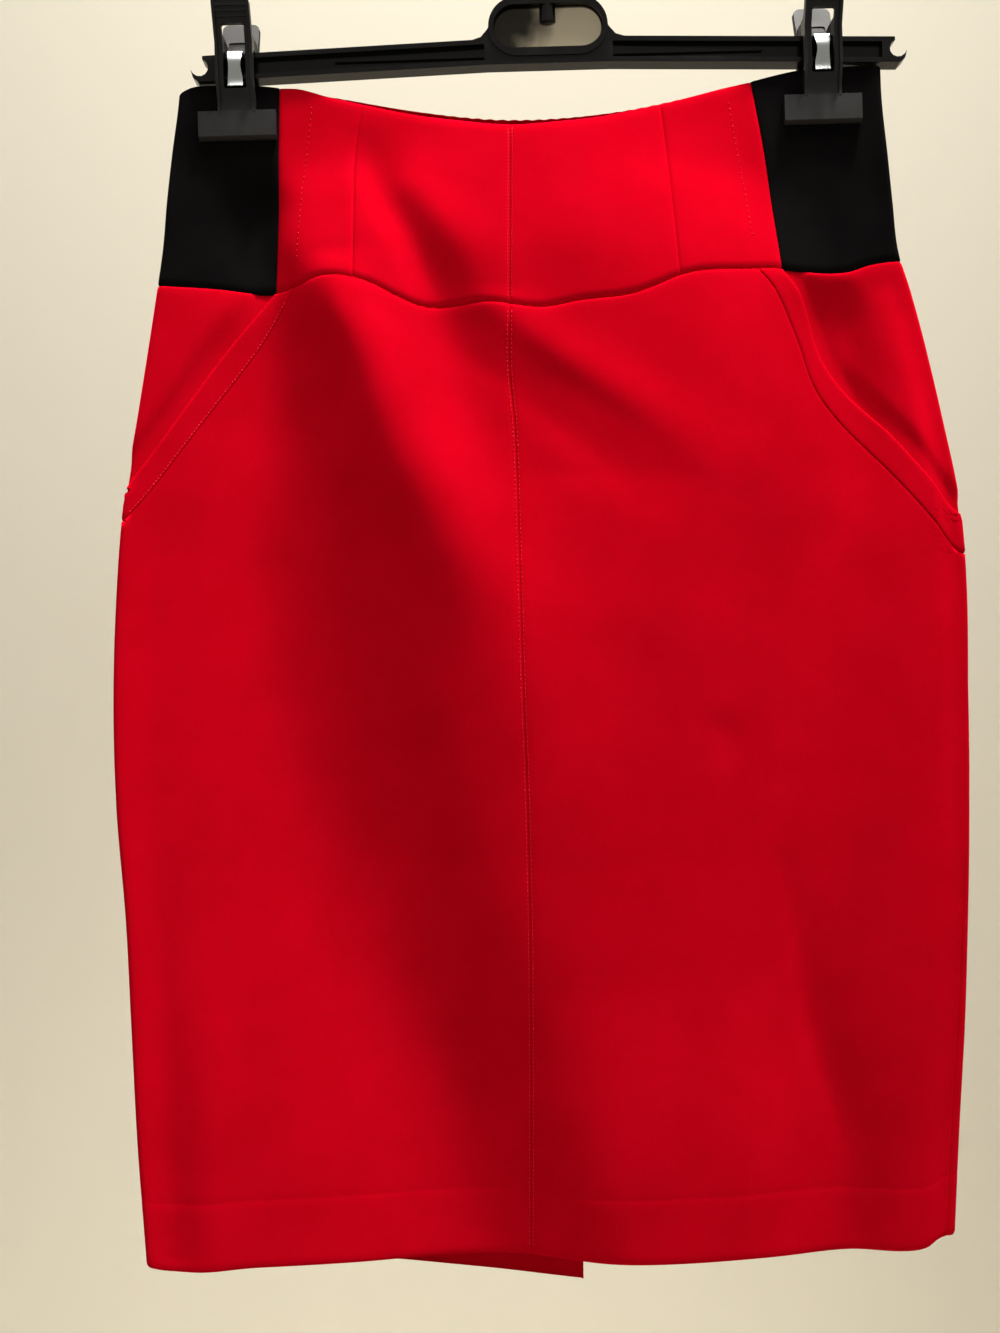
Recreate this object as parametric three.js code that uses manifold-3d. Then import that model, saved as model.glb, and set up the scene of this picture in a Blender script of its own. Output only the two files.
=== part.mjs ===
import * as THREE from "three";
import Module from "manifold-3d";

// Pencil skirt hanging from a clip hanger.
// Millimetres, X to the right, front toward minus Y, Z up.
// The origin is the underside of the hook's crown, where the rail carries it.

const CLOTH = 1.5;
const SEAM_HALF = 0.16;
const LOOP = 3.4;
const LAID = 1.8;
const LAID_BELOW = 3.1;
const LOOP_FADE = 6;
const BAND_LIFT = 0.4;
const UNDER_BAND = 1.7;
const SIDE_SEAM_BACK = -5;
const VENT_TOP = -553;
const VENT_SUNK = -568;
const VENT_OPEN = -586;
const FOOT_LEFT = -347;
const FOOT_RIGHT = -363;
const TURN_LEFT = -320;
const TURN_RIGHT = -336;
const VENT_LAP = 23;
const UNDERLAP = 1.9;

const TILT = (1.62 * Math.PI) / 180;
const HOOK_RADIUS = 20;
const WIRE = 5.2;
const BAR_DEPTH = 8;
const BAR_TOP_MID = -87.4;
const BAR_TALL = 13.8;
const BAR_SLOPE = 0.031;
const BAR_KNEE = 33;
const BAR_END = 186;
const FLANGE = 2.6;
const WEB = 2.4;
const OVAL_HALF = 32.1;
const OVAL_TOP = -65;
const OVAL_BOTTOM = -97;
const CLIP_LEFT_X = -168;
const CLIP_RIGHT_X = 146.2;
const JAW_WIDE = 41.5;
const LEVER_WIDE = 20;

// One row per height: height, left edge x and y, right edge x and y,
// flat width at the left and right edge, front and back fullness, roundness.
const SECTIONS = [
  [-90, -195.5, 0, 181.5, 0, 66, 66, 9, 4, 2],
  [-118, -196.5, 0, 182.5, 0, 66, 66, 13, 6, 2],
  [-150, -200.5, 0, 185.9, 0, 60, 62, 17, 8, 2],
  [-175, -203, -0.7, 189, 1.3, 40, 42, 19, 10, 2.2],
  [-200, -205, -0.9, 192, 1.7, 22, 26, 20, 11, 2.4],
  [-222, -208, -1.2, 199, 2.2, 14, 18, 20, 12, 2.6],
  [-250, -212, -1.8, 207, 3.1, 10, 12, 20, 12, 2.8],
  [-290, -218, -2.7, 217, 4.3, 8, 8, 20, 13, 3],
  [-335, -225, -3.8, 227, 5.7, 6, 6, 20, 13, 3.4],
  [-380, -228.5, -4.8, 231.5, 7.3, 6, 6, 19, 13, 3.6],
  [-440, -230, -6.1, 233.5, 9.5, 6, 6, 18, 12, 3.8],
  [-500, -228, -7.4, 235, 12, 6, 6, 17, 11, 4],
  [-560, -222.5, -8.8, 235.5, 14.7, 6, 6, 16, 11, 4],
  [-620, -219, -9.9, 235, 17.4, 6, 6, 15, 10, 4.2],
  [-680, -215.5, -10.8, 233, 20.2, 6, 6, 15, 10, 4.4],
  [-740, -210.5, -11.6, 231.5, 23, 6, 6, 14, 9, 4.6],
  [-775, -208, -12, 231, 24.6, 6, 6, 14, 9, 4.6],
];

// Folds, one row per height: height, x of the crest, rise (minus is a hollow),
// width to the left of the crest, width to the right.
const FRONT_FOLDS = {
  leftValley: [
    [-152, -156, 0, 16, 12],
    [-164, -154, -3.2, 18, 12],
    [-178, -153, -7.2, 20, 14],
    [-205, -150, -9, 22, 15],
    [-232, -143, -8, 26, 20],
    [-260, -138, -10, 34, 28],
    [-312, -138, -11.5, 40, 38],
    [-364, -136, -12, 50, 54],
    [-442, -120, -12, 74, 62],
    [-520, -112, -11, 80, 62],
    [-598, -92, -10, 84, 60],
    [-676, -58, -10, 84, 52],
    [-775, -34, -10, 84, 50],
  ],
  centreRidge: [
    [-205, -112, 0, 14, 22],
    [-230, -110, 4, 15, 26],
    [-260, -96, 6.5, 20, 30],
    [-300, -84, 8, 24, 36],
    [-349, -70, 8, 28, 42],
    [-391, -52, 7.5, 34, 46],
    [-442, -26, 7, 40, 52],
    [-520, -10, 6.5, 46, 60],
    [-598, 2, 6, 46, 60],
    [-676, 28, 6, 44, 60],
    [-775, 44, 6, 44, 60],
  ],
  yokeHollow: [
    [-135, -96, 0, 9, 11],
    [-165, -88, -2.2, 10, 12],
    [-205, -68, -3.4, 12, 12],
    [-240, -54, -2.4, 13, 14],
    [-290, -40, -1, 14, 18],
    [-340, -22, 0, 16, 20],
  ],
  rightHollow: [
    [-215, 160, 0, 20, 12],
    [-240, 163, -4, 22, 14],
    [-290, 166, -5, 24, 16],
    [-360, 166, -4.5, 24, 18],
    [-450, 166, -4, 24, 18],
    [-540, 166, -3.5, 24, 18],
    [-620, 168, -3, 24, 16],
    [-700, 172, -2.5, 24, 14],
    [-775, 176, -2.5, 24, 14],
  ],
  rightRidge: [
    [-220, 190, 0, 18, 12],
    [-260, 196, 5, 22, 12],
    [-340, 200, 6, 28, 16],
    [-450, 200, 7, 34, 20],
    [-620, 200, 8, 34, 20],
    [-775, 204, 8, 30, 18],
  ],
  leftRidge: [
    [-560, -182, 0, 16, 18],
    [-660, -180, 2, 16, 18],
    [-740, -178, 3, 16, 18],
    [-775, -178, 3, 16, 18],
  ],
};
const BACK_FOLDS = {
  backHollow: [
    [-240, 60, 0, 40, 40],
    [-330, 58, -4, 44, 44],
    [-480, 40, -5, 54, 54],
    [-640, 30, -3, 60, 60],
    [-775, 30, -2, 60, 60],
  ],
  behindLeftValley: [
    [-152, -156, 0, 16, 12],
    [-163, -154, 4, 18, 12],
    [-178, -153, 8, 20, 14],
    [-205, -150, 8.5, 22, 15],
    [-232, -143, 5, 26, 20],
    [-260, -138, 2, 40, 28],
    [-312, -138, 0, 56, 38],
  ],
};

// Edge lines across the skirt: x, height.
const TOP_FRONT = [
  [-196, -117.5],
  [-187, -112.8],
  [-154, -112.4],
  [-142, -113.5],
  [-131, -114],
  [-115, -118.7],
  [-98, -123.6],
  [-66, -132.8],
  [-34, -139],
  [-18, -140.6],
  [-2, -139.7],
  [29, -134.9],
  [62, -125.4],
  [95, -114.5],
  [112, -110],
  [128, -105.9],
  [141, -103.4],
  [162, -102],
  [177, -101.5],
  [182, -103],
];
const TOP_BACK = [
  [-196, -117.5],
  [-187, -112.8],
  [-154, -112.4],
  [-120, -115],
  [-70, -121.5],
  [-18, -125.2],
  [40, -122],
  [90, -113.5],
  [128, -105.9],
  [141, -103.4],
  [162, -102],
  [177, -101.5],
  [182, -103],
];
const SEAM_FRONT = [
  [-208, -220.9],
  [-175, -222.3],
  [-144, -224.5],
  [-132, -222.8],
  [-121, -220],
  [-111, -219.6],
  [-101, -221.4],
  [-90, -225.3],
  [-78, -231.7],
  [-66, -236.8],
  [-55, -238],
  [-30, -235.8],
  [-2, -238.4],
  [19, -234.4],
  [44, -231],
  [57, -226.4],
  [71, -220],
  [84, -216.6],
  [107, -214.3],
  [127, -212.9],
  [148, -213.9],
  [164, -212.7],
  [176, -208.8],
  [190, -206.8],
  [197, -207.2],
];
const SEAM_BACK = [
  [-208, -220.9],
  [-150, -225],
  [-80, -232],
  [0, -236],
  [80, -229],
  [150, -216],
  [197, -207.2],
];
const HEM_FRONT = [
  [-212, -741],
  [-198, -744],
  [-150, -741],
  [-100, -740],
  [0, -740.5],
  [60, -742],
  [130, -744],
  [200, -744.5],
  [233, -742],
];
const HEM_BACK = [
  [-212, -741],
  [-150, -744],
  [-90, -749],
  [-40, -755],
  [23, -764],
];
const HEM_BACK_RIGHT = [
  [-30, -746],
  [60, -744],
  [150, -743],
  [233, -742],
];

// Seam lines down the skirt: height, x.
const ELASTIC_LEFT = [
  [-90, -141.8],
  [-142, -142.6],
  [-175, -143.1],
  [-240, -144.4],
];
const ELASTIC_RIGHT = [
  [-90, 107],
  [-110, 111.5],
  [-152, 119.4],
  [-181, 123.2],
  [-225, 129],
];
const PRINCESS_LEFT = [
  [-110, -95],
  [-125, -97.3],
  [-150, -100.8],
  [-183, -100.9],
  [-240, -100.5],
];
const PRINCESS_RIGHT = [
  [-110, 60],
  [-127, 62.3],
  [-160, 66.2],
  [-190, 68.8],
  [-235, 72.6],
];
const CENTRE_FRONT = [
  [-120, -17],
  [-182, -17.4],
  [-237, -17.8],
  [-271, -18],
  [-302, -15.6],
  [-345, -14.1],
  [-436, -11.5],
  [-494, -9.2],
  [-600, -7.1],
  [-780, -6.5],
];
const CENTRE_BACK = [
  [-200, -3],
  [-400, -2],
  [-780, 0],
];
const POCKET_LEFT_EDGE = [
  [-215, -136],
  [-225, -145.2],
  [-254.5, -169.4],
  [-286.2, -192],
  [-312.8, -210.8],
  [-334, -226.5],
];
const POCKET_LEFT_LINE = [
  [-215, -128],
  [-225, -134.5],
  [-252, -151.5],
  [-279.3, -171.6],
  [-307.3, -192.4],
  [-334.9, -213.3],
  [-352, -229],
];
const POCKET_RIGHT_EDGE = [
  [-205, 121],
  [-213.6, 127.9],
  [-225.6, 137.7],
  [-254.4, 147.6],
  [-268.6, 156.3],
  [-298, 184.3],
  [-315.2, 198.9],
  [-331.4, 214],
  [-345.5, 228.8],
];
const POCKET_RIGHT_LINE = [
  [-205, 107],
  [-214, 114.4],
  [-223.8, 123],
  [-250.2, 135.8],
  [-277.6, 147.5],
  [-304.7, 172],
  [-341.7, 204.5],
  [-355.7, 218],
  [-368, 232],
];
// How far in front of the right edge the side seam lies: height, distance.
const SIDE_RIGHT = [
  [-340, -2],
  [-372, 0],
  [-450, 2],
  [-534, 5.3],
  [-600, 6.9],
  [-680, 7.6],
  [-780, 7.8],
];

function smooth(t) {
  const c = Math.min(Math.max(t, 0), 1);
  return c * c * (3 - 2 * c);
}

// Every column of a table at a given key, passing smoothly through the rows.
function rowAt(rows, at) {
  const last = rows.length - 1;
  const sign = rows[last][0] > rows[0][0] ? 1 : -1;
  if (at * sign <= rows[0][0] * sign) return rows[0].slice(1);
  if (at * sign >= rows[last][0] * sign) return rows[last].slice(1);
  let i = 0;
  while (rows[i + 1][0] * sign < at * sign) i += 1;
  const a = rows[i];
  const b = rows[i + 1];
  const before = rows[Math.max(i - 1, 0)];
  const after = rows[Math.min(i + 2, last)];
  const span = b[0] - a[0];
  const t = (at - a[0]) / span;
  return a.slice(1).map((value, k) => {
    const c = k + 1;
    const slopeA = ((b[c] - before[c]) / (b[0] - before[0])) * span;
    const slopeB = ((after[c] - a[c]) / (after[0] - a[0])) * span;
    return (
      (2 * t ** 3 - 3 * t ** 2 + 1) * value +
      (t ** 3 - 2 * t ** 2 + t) * slopeA +
      (3 * t ** 2 - 2 * t ** 3) * b[c] +
      (t ** 3 - t ** 2) * slopeB
    );
  });
}

const lineAt = (rows, at) => rowAt(rows, at)[0];

function foldsAt(folds, x, z) {
  let total = 0;
  for (const rows of Object.values(folds)) {
    if (z > rows[0][0] || z < rows[rows.length - 1][0]) continue;
    const [crest, rise, left, right] = rowAt(rows, z);
    const d = (x - crest) / (x < crest ? left : right);
    total += rise * Math.exp(-d * d);
  }
  return total;
}

// Front length of the section at a height, from the left edge round to the right edge.
function sectionAt(z) {
  const [xl, yl, xr, yr, flatL, flatR, front, back, round] = rowAt(SECTIONS, z);
  const half = xr - xl + LOOP * (Math.PI - 2);
  return { xl, yl, xr, yr, flatL, flatR, front, back, round, half };
}

const ARC = (LOOP * Math.PI) / 2;

// A place on the skirt from the length w round the section: zero at the left edge,
// plus over the front to the right edge, minus over the back.
function place(w, z) {
  const s = sectionAt(z);
  let v = w;
  if (v > s.half) v -= 2 * s.half;
  if (v < -s.half) v += 2 * s.half;
  const side = v >= 0 ? -1 : 1;
  const q = Math.abs(v);
  let x = s.xl + LOOP + q - ARC;
  if (q < ARC) x = s.xl + LOOP * (1 - Math.cos(q / LOOP));
  if (q > s.half - ARC) x = s.xr - LOOP * (1 - Math.cos((s.half - q) / LOOP));
  const inset = Math.max(Math.min(x - s.xl, s.xr - x), 0);
  const edge = Math.sqrt(1 - (1 - Math.min(inset / LOOP, 1)) ** 2);
  const laid = LAID + (LAID_BELOW - LAID) * smooth((-152 - z) / 60);
  const lay = laid + (LOOP - laid) * Math.exp(-((inset / LOOP_FADE) ** 2));
  const from = s.xl + s.flatL;
  const to = s.xr - s.flatR;
  const t = Math.abs((2 * x - from - to) / (to - from));
  const full = t < 1 ? (side < 0 ? s.front : s.back) * (1 - t ** s.round) ** 2 : 0;
  const fold = foldsAt(side < 0 ? FRONT_FOLDS : BACK_FOLDS, x, z) * smooth((inset - 2) / 18);
  const chord = s.yl + ((s.yr - s.yl) * (x - s.xl)) / (s.xr - s.xl);
  return { x, y: chord + side * (lay * edge + full + fold), side };
}

// Length round the section of a front or back point with a known x.
const frontW = (x, z) => {
  const s = sectionAt(z);
  const inset = x - s.xl;
  if (inset < LOOP) return LOOP * Math.acos(1 - Math.max(inset, 0) / LOOP);
  const other = s.xr - x;
  if (other < LOOP) return s.half - LOOP * Math.acos(1 - Math.max(other, 0) / LOOP);
  return inset - LOOP + ARC;
};
const backW = (x, z) => -frontW(x, z);
const backWRight = (x, z) => 2 * sectionAt(z).half - frontW(x, z);

const point = (w, z) => {
  const p = place(w, z);
  return new THREE.Vector3(p.x, p.y, z);
};

function outward(w, z) {
  const e = 0.6;
  const across = point(w + e, z).sub(point(w - e, z));
  const up = point(w, z + e).sub(point(w, z - e));
  return across.cross(up).normalize();
}

// A height that follows an edge line on the front or on the back at a place.
function edgeHeight(frontLine, backLine, wAt, start) {
  let z = start;
  for (let k = 0; k < 8; k += 1) {
    const p = place(wAt(z), z);
    z = lineAt(p.side < 0 ? frontLine : backLine, p.x);
  }
  return z;
}

function material(name, red, green, blue, roughness, metalness) {
  const colour = new THREE.Color().setRGB(red / 255, green / 255, blue / 255, THREE.SRGBColorSpace);
  const made = new THREE.MeshStandardMaterial({ color: colour, roughness, metalness });
  made.name = name;
  return made;
}
const redCloth = () => material("red_cloth", 196, 1, 26, 0.75, 0);
const blackElastic = () => material("black_elastic", 16, 14, 15, 0.85, 0);
const blackPlastic = () => material("black_plastic", 26, 25, 24, 0.35, 0);
const brightSteel = () => material("bright_steel", 180, 184, 182, 0.3, 1);

// Heights from the top to the bottom: equal steps to each fixed break, then to the bottom.
function levels(top, breaks, bottom, lastSteps) {
  const heights = [top];
  let from = top;
  for (const [height, steps] of breaks.concat([[bottom, lastSteps]])) {
    for (let k = 1; k <= steps; k += 1) heights.push(from + ((height - from) * k) / steps);
    from = height;
  }
  return heights;
}

// A cloth wall between side lines, a top line and a bottom line.
// columns: the side lines with the number of steps to the next one.
// lift: distance of the outer face outward from the skirt's surface.
function clothPanel(name, makeMaterial, spec) {
  const across = [];
  spec.columns.forEach(([line, steps], i) => {
    if (i === spec.columns.length - 1) {
      across.push((z) => line(z) - SEAM_HALF);
      return;
    }
    const next = spec.columns[i + 1][0];
    const startGap = i === 0 ? SEAM_HALF : 0;
    const endGap = i === spec.columns.length - 2 ? SEAM_HALF : 0;
    for (let k = 0; k < steps; k += 1) {
      across.push((z) => {
        const a = line(z) + startGap;
        const b = next(z) - endGap;
        return a + ((b - a) * k) / steps;
      });
    }
  });
  const lift = spec.lift ?? (() => 0);
  const topGap = spec.topGap ?? SEAM_HALF;
  const bottomGap = spec.bottomGap ?? SEAM_HALF;
  const breaks = spec.breaks ?? [];
  const m = across.length;
  const n = levels(0, breaks, 0, spec.down).length;
  const outer = [];
  const inner = [];
  for (const wAt of across) {
    const top = edgeHeight(spec.top[0], spec.top[1], wAt, spec.top[0][0][1]) - topGap;
    const bottom = edgeHeight(spec.bottom[0], spec.bottom[1], wAt, spec.bottom[0][0][1]) + bottomGap;
    const heights = levels(top, breaks, bottom, spec.down);
    for (const z of heights) {
      const w = wAt(z);
      const normal = outward(w, z);
      const base = point(w, z);
      const up = lift(w, z);
      outer.push(base.clone().addScaledVector(normal, up));
      inner.push(base.clone().addScaledVector(normal, up - CLOTH));
    }
  }
  const all = outer.concat(inner);
  const half = outer.length;
  const id = (i, j) => i * n + j;
  const faces = [];
  for (let i = 0; i < m - 1; i += 1) {
    for (let j = 0; j < n - 1; j += 1) {
      const a = id(i, j);
      const b = id(i, j + 1);
      const c = id(i + 1, j + 1);
      const d = id(i + 1, j);
      faces.push([a, b, c], [a, c, d]);
      faces.push([half + a, half + c, half + b], [half + a, half + d, half + c]);
    }
  }
  const rim = [];
  for (let j = 0; j < n - 1; j += 1) rim.push([id(0, j), id(0, j + 1)]);
  for (let i = 0; i < m - 1; i += 1) rim.push([id(i, n - 1), id(i + 1, n - 1)]);
  for (let j = n - 1; j > 0; j -= 1) rim.push([id(m - 1, j), id(m - 1, j - 1)]);
  for (let i = m - 1; i > 0; i -= 1) rim.push([id(i, 0), id(i - 1, 0)]);
  for (const [a, b] of rim) faces.push([b, a, half + a], [b, half + a, half + b]);
  const geometry = new THREE.BufferGeometry();
  const flat = [];
  for (const p of all) flat.push(p.x, p.y, p.z);
  geometry.setAttribute("position", new THREE.Float32BufferAttribute(flat, 3));
  geometry.setIndex(faces.flat());
  return named(name, geometry, makeMaterial());
}

function named(name, geometry, mat) {
  geometry.computeVertexNormals();
  const mesh = new THREE.Mesh(geometry, mat);
  mesh.name = name;
  return mesh;
}

// Side lines of the panels, as lengths round the section.
const leftFold = () => ARC;
const leftFoldBack = () => -ARC;
const rightFold = (z) => sectionAt(z).half - ARC;
const rightFoldBack = (z) => sectionAt(z).half + ARC;
const sideLeft = () => SIDE_SEAM_BACK;
const sideRight = (z) => sectionAt(z).half - Math.max(lineAt(SIDE_RIGHT, z), -2);
const onFront = (rows) => (z) => frontW(lineAt(rows, z), z);
const centreFront = onFront(CENTRE_FRONT);
const elasticLeft = onFront(ELASTIC_LEFT);
const elasticRight = onFront(ELASTIC_RIGHT);
const backSeamLeft = (z) => backW(lineAt(ELASTIC_LEFT, z), z);
const backSeamRight = (z) => backWRight(lineAt(ELASTIC_RIGHT, z), z);

// A pocket line runs over the front and ends at the side seam.
const pocketLeft = (rows) => (z) => {
  const last = rows[rows.length - 1];
  if (z < last[0]) return sideLeft();
  const w = frontW(lineAt(rows, z), z);
  const turn = smooth((last[0] + 5 - z) / 5);
  return w + (sideLeft() - w) * turn;
};
const pocketRight = (rows) => (z) => {
  const last = rows[rows.length - 1];
  if (z < last[0]) return sideRight(z);
  const w = frontW(lineAt(rows, z), z);
  const turn = smooth((last[0] + 5 - z) / 5);
  return w + (sideRight(z) - w) * turn;
};
// The band keeps a little further from the front panel, which lies lower.
const BAND_GAP = 0.22;
const leftMouth = pocketLeft(POCKET_LEFT_EDGE);
const leftMouthLine = pocketLeft(POCKET_LEFT_LINE);
const rightMouth = pocketRight(POCKET_RIGHT_EDGE);
const rightMouthLine = pocketRight(POCKET_RIGHT_LINE);
const sideRightBehind = (z) => sideRight(z) + BAND_GAP;
const leftBandSeam = (z) => leftMouthLine(z) - BAND_GAP;
const rightBandSeam = (z) => rightMouthLine(z) + BAND_GAP;

// The hip piece sinks under the band where the pocket mouth lies over it.
const sinkLeft = (w, z) => -UNDER_BAND * smooth((w - leftMouth(z) + 16) / 8);
const sinkRight = (w, z) => -UNDER_BAND * smooth((rightMouth(z) - w + 16) / 8);

const leftSinkStart = (z) => Math.max(leftFold() + 0.6, leftMouth(z) - 16);
const leftSinkEnd = (z) => Math.max(leftSinkStart(z) + 0.6, leftMouth(z) - 8);
const leftUnder = (z) => Math.max(leftSinkEnd(z) + 0.6, leftMouth(z));
const rightSinkStart = (z) => Math.min(rightFold(z) - 0.6, rightMouth(z) + 16);
const rightSinkEnd = (z) => Math.min(rightSinkStart(z) - 0.6, rightMouth(z) + 8);
const rightUnder = (z) => Math.min(rightSinkEnd(z) - 0.6, rightMouth(z));

// The front panels end at the band, and below its foot at the side seam.
const frontEdgeLeft = (z) => (z > FOOT_LEFT - 0.3 ? leftMouthLine(z) : sideLeft());
const frontEdgeRight = (z) => (z > FOOT_RIGHT - 0.3 ? rightMouthLine(z) : sideRight(z));
const besideEdgeLeft = (z) => Math.max(leftFold(), frontEdgeLeft(z) + 3);
const besideEdgeRight = (z) => Math.min(rightFold(z), frontEdgeRight(z) - 3);

// The back panels lap at the vent.
const ventShare = (z) => smooth((VENT_SUNK - z) / (VENT_SUNK - VENT_OPEN));
const ventEdge = (z) => lineAt(CENTRE_BACK, z) + VENT_LAP * ventShare(z);
const ventUnder = (z) => lineAt(CENTRE_BACK, z) - 8 * ventShare(z);
const ventEdgeLeft = (z) => backW(ventEdge(z), z);
const ventEdgeRight = (z) => backWRight(ventUnder(z), z);
const ventSink = (w, z) => {
  const x = place(w, z).x;
  const near = smooth((50 - x) / 24);
  return -UNDERLAP * near * smooth((VENT_TOP - z) / (VENT_TOP - VENT_SUNK));
};

function skirt(group) {
  const topLines = [TOP_FRONT, TOP_BACK];
  const seamLines = [SEAM_FRONT, SEAM_BACK];
  const hemLines = [HEM_FRONT, HEM_BACK];
  const hemLinesRight = [HEM_FRONT, HEM_BACK_RIGHT];
  const add = (name, makeMaterial, spec) => group.add(clothPanel(name, makeMaterial, spec));

  const yoke = (name, from, to, steps) =>
    add(name, redCloth, {
      columns: [[from, steps], [to]],
      top: topLines,
      bottom: seamLines,
      topGap: 0,
      down: 6,
    });
  yoke("yoke_side_left", elasticLeft, onFront(PRINCESS_LEFT), 4);
  yoke("yoke_centre_left", onFront(PRINCESS_LEFT), centreFront, 8);
  yoke("yoke_centre_right", centreFront, onFront(PRINCESS_RIGHT), 8);
  yoke("yoke_side_right", onFront(PRINCESS_RIGHT), elasticRight, 5);

  add("elastic_left", blackElastic, {
    columns: [[backSeamLeft, 5], [leftFoldBack, 6], [leftFold, 5], [elasticLeft]],
    top: topLines,
    bottom: seamLines,
    topGap: 0,
    down: 6,
  });
  add("elastic_right", blackElastic, {
    columns: [[elasticRight, 6], [rightFold, 6], [rightFoldBack, 6], [backSeamRight]],
    top: topLines,
    bottom: seamLines,
    topGap: 0,
    down: 6,
  });
  const backYokeStart = (z) => backSeamRight(z) - 2 * sectionAt(z).half;
  add("back_yoke", redCloth, {
    columns: [[backYokeStart, 18], [backSeamLeft]],
    top: topLines,
    bottom: seamLines,
    topGap: 0,
    down: 5,
  });

  add("front_left", redCloth, {
    columns: [[frontEdgeLeft, 4], [besideEdgeLeft, 12], [centreFront]],
    top: seamLines,
    bottom: hemLines,
    bottomGap: 0,
    breaks: [[TURN_LEFT, 9], [FOOT_LEFT, 6], [FOOT_LEFT - 0.6, 1]],
    down: 17,
  });
  add("front_right", redCloth, {
    columns: [[centreFront, 13], [besideEdgeRight, 4], [frontEdgeRight]],
    top: seamLines,
    bottom: hemLinesRight,
    bottomGap: 0,
    breaks: [[TURN_RIGHT, 11], [FOOT_RIGHT, 6], [FOOT_RIGHT - 0.6, 1]],
    down: 16,
  });

  const bandLift = () => BAND_LIFT;
  add("pocket_band_left", redCloth, {
    columns: [[leftMouth, 3], [leftBandSeam]],
    top: seamLines,
    bottom: [POCKET_FOOT_LEFT, POCKET_FOOT_LEFT],
    lift: bandLift,
    breaks: [[TURN_LEFT, 9]],
    down: 6,
  });
  add("pocket_band_right", redCloth, {
    columns: [[rightBandSeam, 3], [rightMouth]],
    top: seamLines,
    bottom: [POCKET_FOOT_RIGHT, POCKET_FOOT_RIGHT],
    lift: bandLift,
    breaks: [[TURN_RIGHT, 11]],
    down: 6,
  });
  add("hip_side_left", redCloth, {
    columns: [
      [sideLeft, 4],
      [leftFold, 4],
      [leftSinkStart, 2],
      [leftSinkEnd, 1],
      [leftUnder, 3],
      [leftMouthLine],
    ],
    top: seamLines,
    bottom: [HIP_FOOT_LEFT, HIP_FOOT_LEFT],
    lift: sinkLeft,
    breaks: [[TURN_LEFT, 9]],
    down: 2,
  });
  add("hip_side_right", redCloth, {
    columns: [
      [rightMouthLine, 3],
      [rightUnder, 1],
      [rightSinkEnd, 2],
      [rightSinkStart, 4],
      [rightFold, 4],
      [sideRight],
    ],
    top: seamLines,
    bottom: [HIP_FOOT_RIGHT, HIP_FOOT_RIGHT],
    lift: sinkRight,
    breaks: [[TURN_RIGHT, 11]],
    down: 2,
  });

  add("back_left", redCloth, {
    columns: [[ventEdgeLeft, 11], [sideLeft]],
    top: seamLines,
    bottom: hemLines,
    bottomGap: 0,
    breaks: [[VENT_TOP, 15], [VENT_SUNK, 1], [VENT_OPEN, 1]],
    down: 7,
  });
  add("back_right", redCloth, {
    columns: [[sideRightBehind, 6], [rightFoldBack, 11], [ventEdgeRight]],
    top: seamLines,
    bottom: hemLinesRight,
    bottomGap: 0,
    lift: ventSink,
    breaks: [[VENT_TOP, 15], [VENT_SUNK, 1], [VENT_OPEN, 1]],
    down: 7,
  });
}
const POCKET_FOOT_LEFT = [
  [-240, FOOT_LEFT],
  [0, FOOT_LEFT],
];
const POCKET_FOOT_RIGHT = [
  [0, FOOT_RIGHT],
  [240, FOOT_RIGHT],
];
const HIP_FOOT_LEFT = [
  [-240, -327],
  [0, -327],
];
const HIP_FOOT_RIGHT = [
  [0, -338],
  [240, -338],
];

const X_AXIS = new THREE.Vector3(1, 0, 0);
const Y_AXIS = new THREE.Vector3(0, 1, 0);
const Z_AXIS = new THREE.Vector3(0, 0, 1);

const wasm = await Module();
wasm.setup();

// Welds a geometry's corners and turns it into a solid for joining and cutting.
function toSolid(geometry) {
  const position = geometry.attributes.position;
  const index = geometry.index;
  const seen = new Map();
  const verts = [];
  const tris = [];
  const count = index ? index.count : position.count;
  for (let k = 0; k < count; k += 1) {
    const i = index ? index.getX(k) : k;
    const p = [position.getX(i), position.getY(i), position.getZ(i)];
    const key = p.map((value) => Math.round(value * 1e4)).join(",");
    if (!seen.has(key)) {
      seen.set(key, verts.length / 3);
      verts.push(...p);
    }
    tris.push(seen.get(key));
  }
  const kept = [];
  for (let k = 0; k < tris.length; k += 3) {
    const [a, b, c] = tris.slice(k, k + 3);
    if (a !== b && b !== c && c !== a) kept.push(a, b, c);
  }
  const mesh = new wasm.Mesh({
    numProp: 3,
    vertProperties: new Float32Array(verts),
    triVerts: new Uint32Array(kept),
  });
  return new wasm.Manifold(mesh);
}

function fromSolid(solid) {
  const mesh = solid.getMesh();
  const geometry = new THREE.BufferGeometry();
  geometry.setAttribute("position", new THREE.Float32BufferAttribute(Array.from(mesh.vertProperties), 3));
  geometry.setIndex(Array.from(mesh.triVerts));
  return geometry;
}

// An outline in x and height, made solid between two depths.
function upright(shape, fromY, toY, segments = 8) {
  const geometry = new THREE.ExtrudeGeometry(shape, {
    depth: toY - fromY,
    bevelEnabled: false,
    curveSegments: segments,
  });
  geometry.applyMatrix4(new THREE.Matrix4().makeBasis(X_AXIS, Z_AXIS, Y_AXIS.clone().negate()));
  geometry.translate(0, toY, 0);
  return toSolid(geometry);
}

// An outline in depth and height, made solid between two x positions.
function lengthwise(points, fromX, toX) {
  const shape = new THREE.Shape(points.map(([y, z]) => new THREE.Vector2(y, z)));
  const geometry = new THREE.ExtrudeGeometry(shape, { depth: toX - fromX, bevelEnabled: false });
  geometry.applyMatrix4(new THREE.Matrix4().makeBasis(Y_AXIS, Z_AXIS, X_AXIS));
  geometry.translate(fromX, 0, 0);
  return toSolid(geometry);
}

function polygon(points) {
  return new THREE.Shape(points.map(([x, z]) => new THREE.Vector2(x, z)));
}

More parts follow.
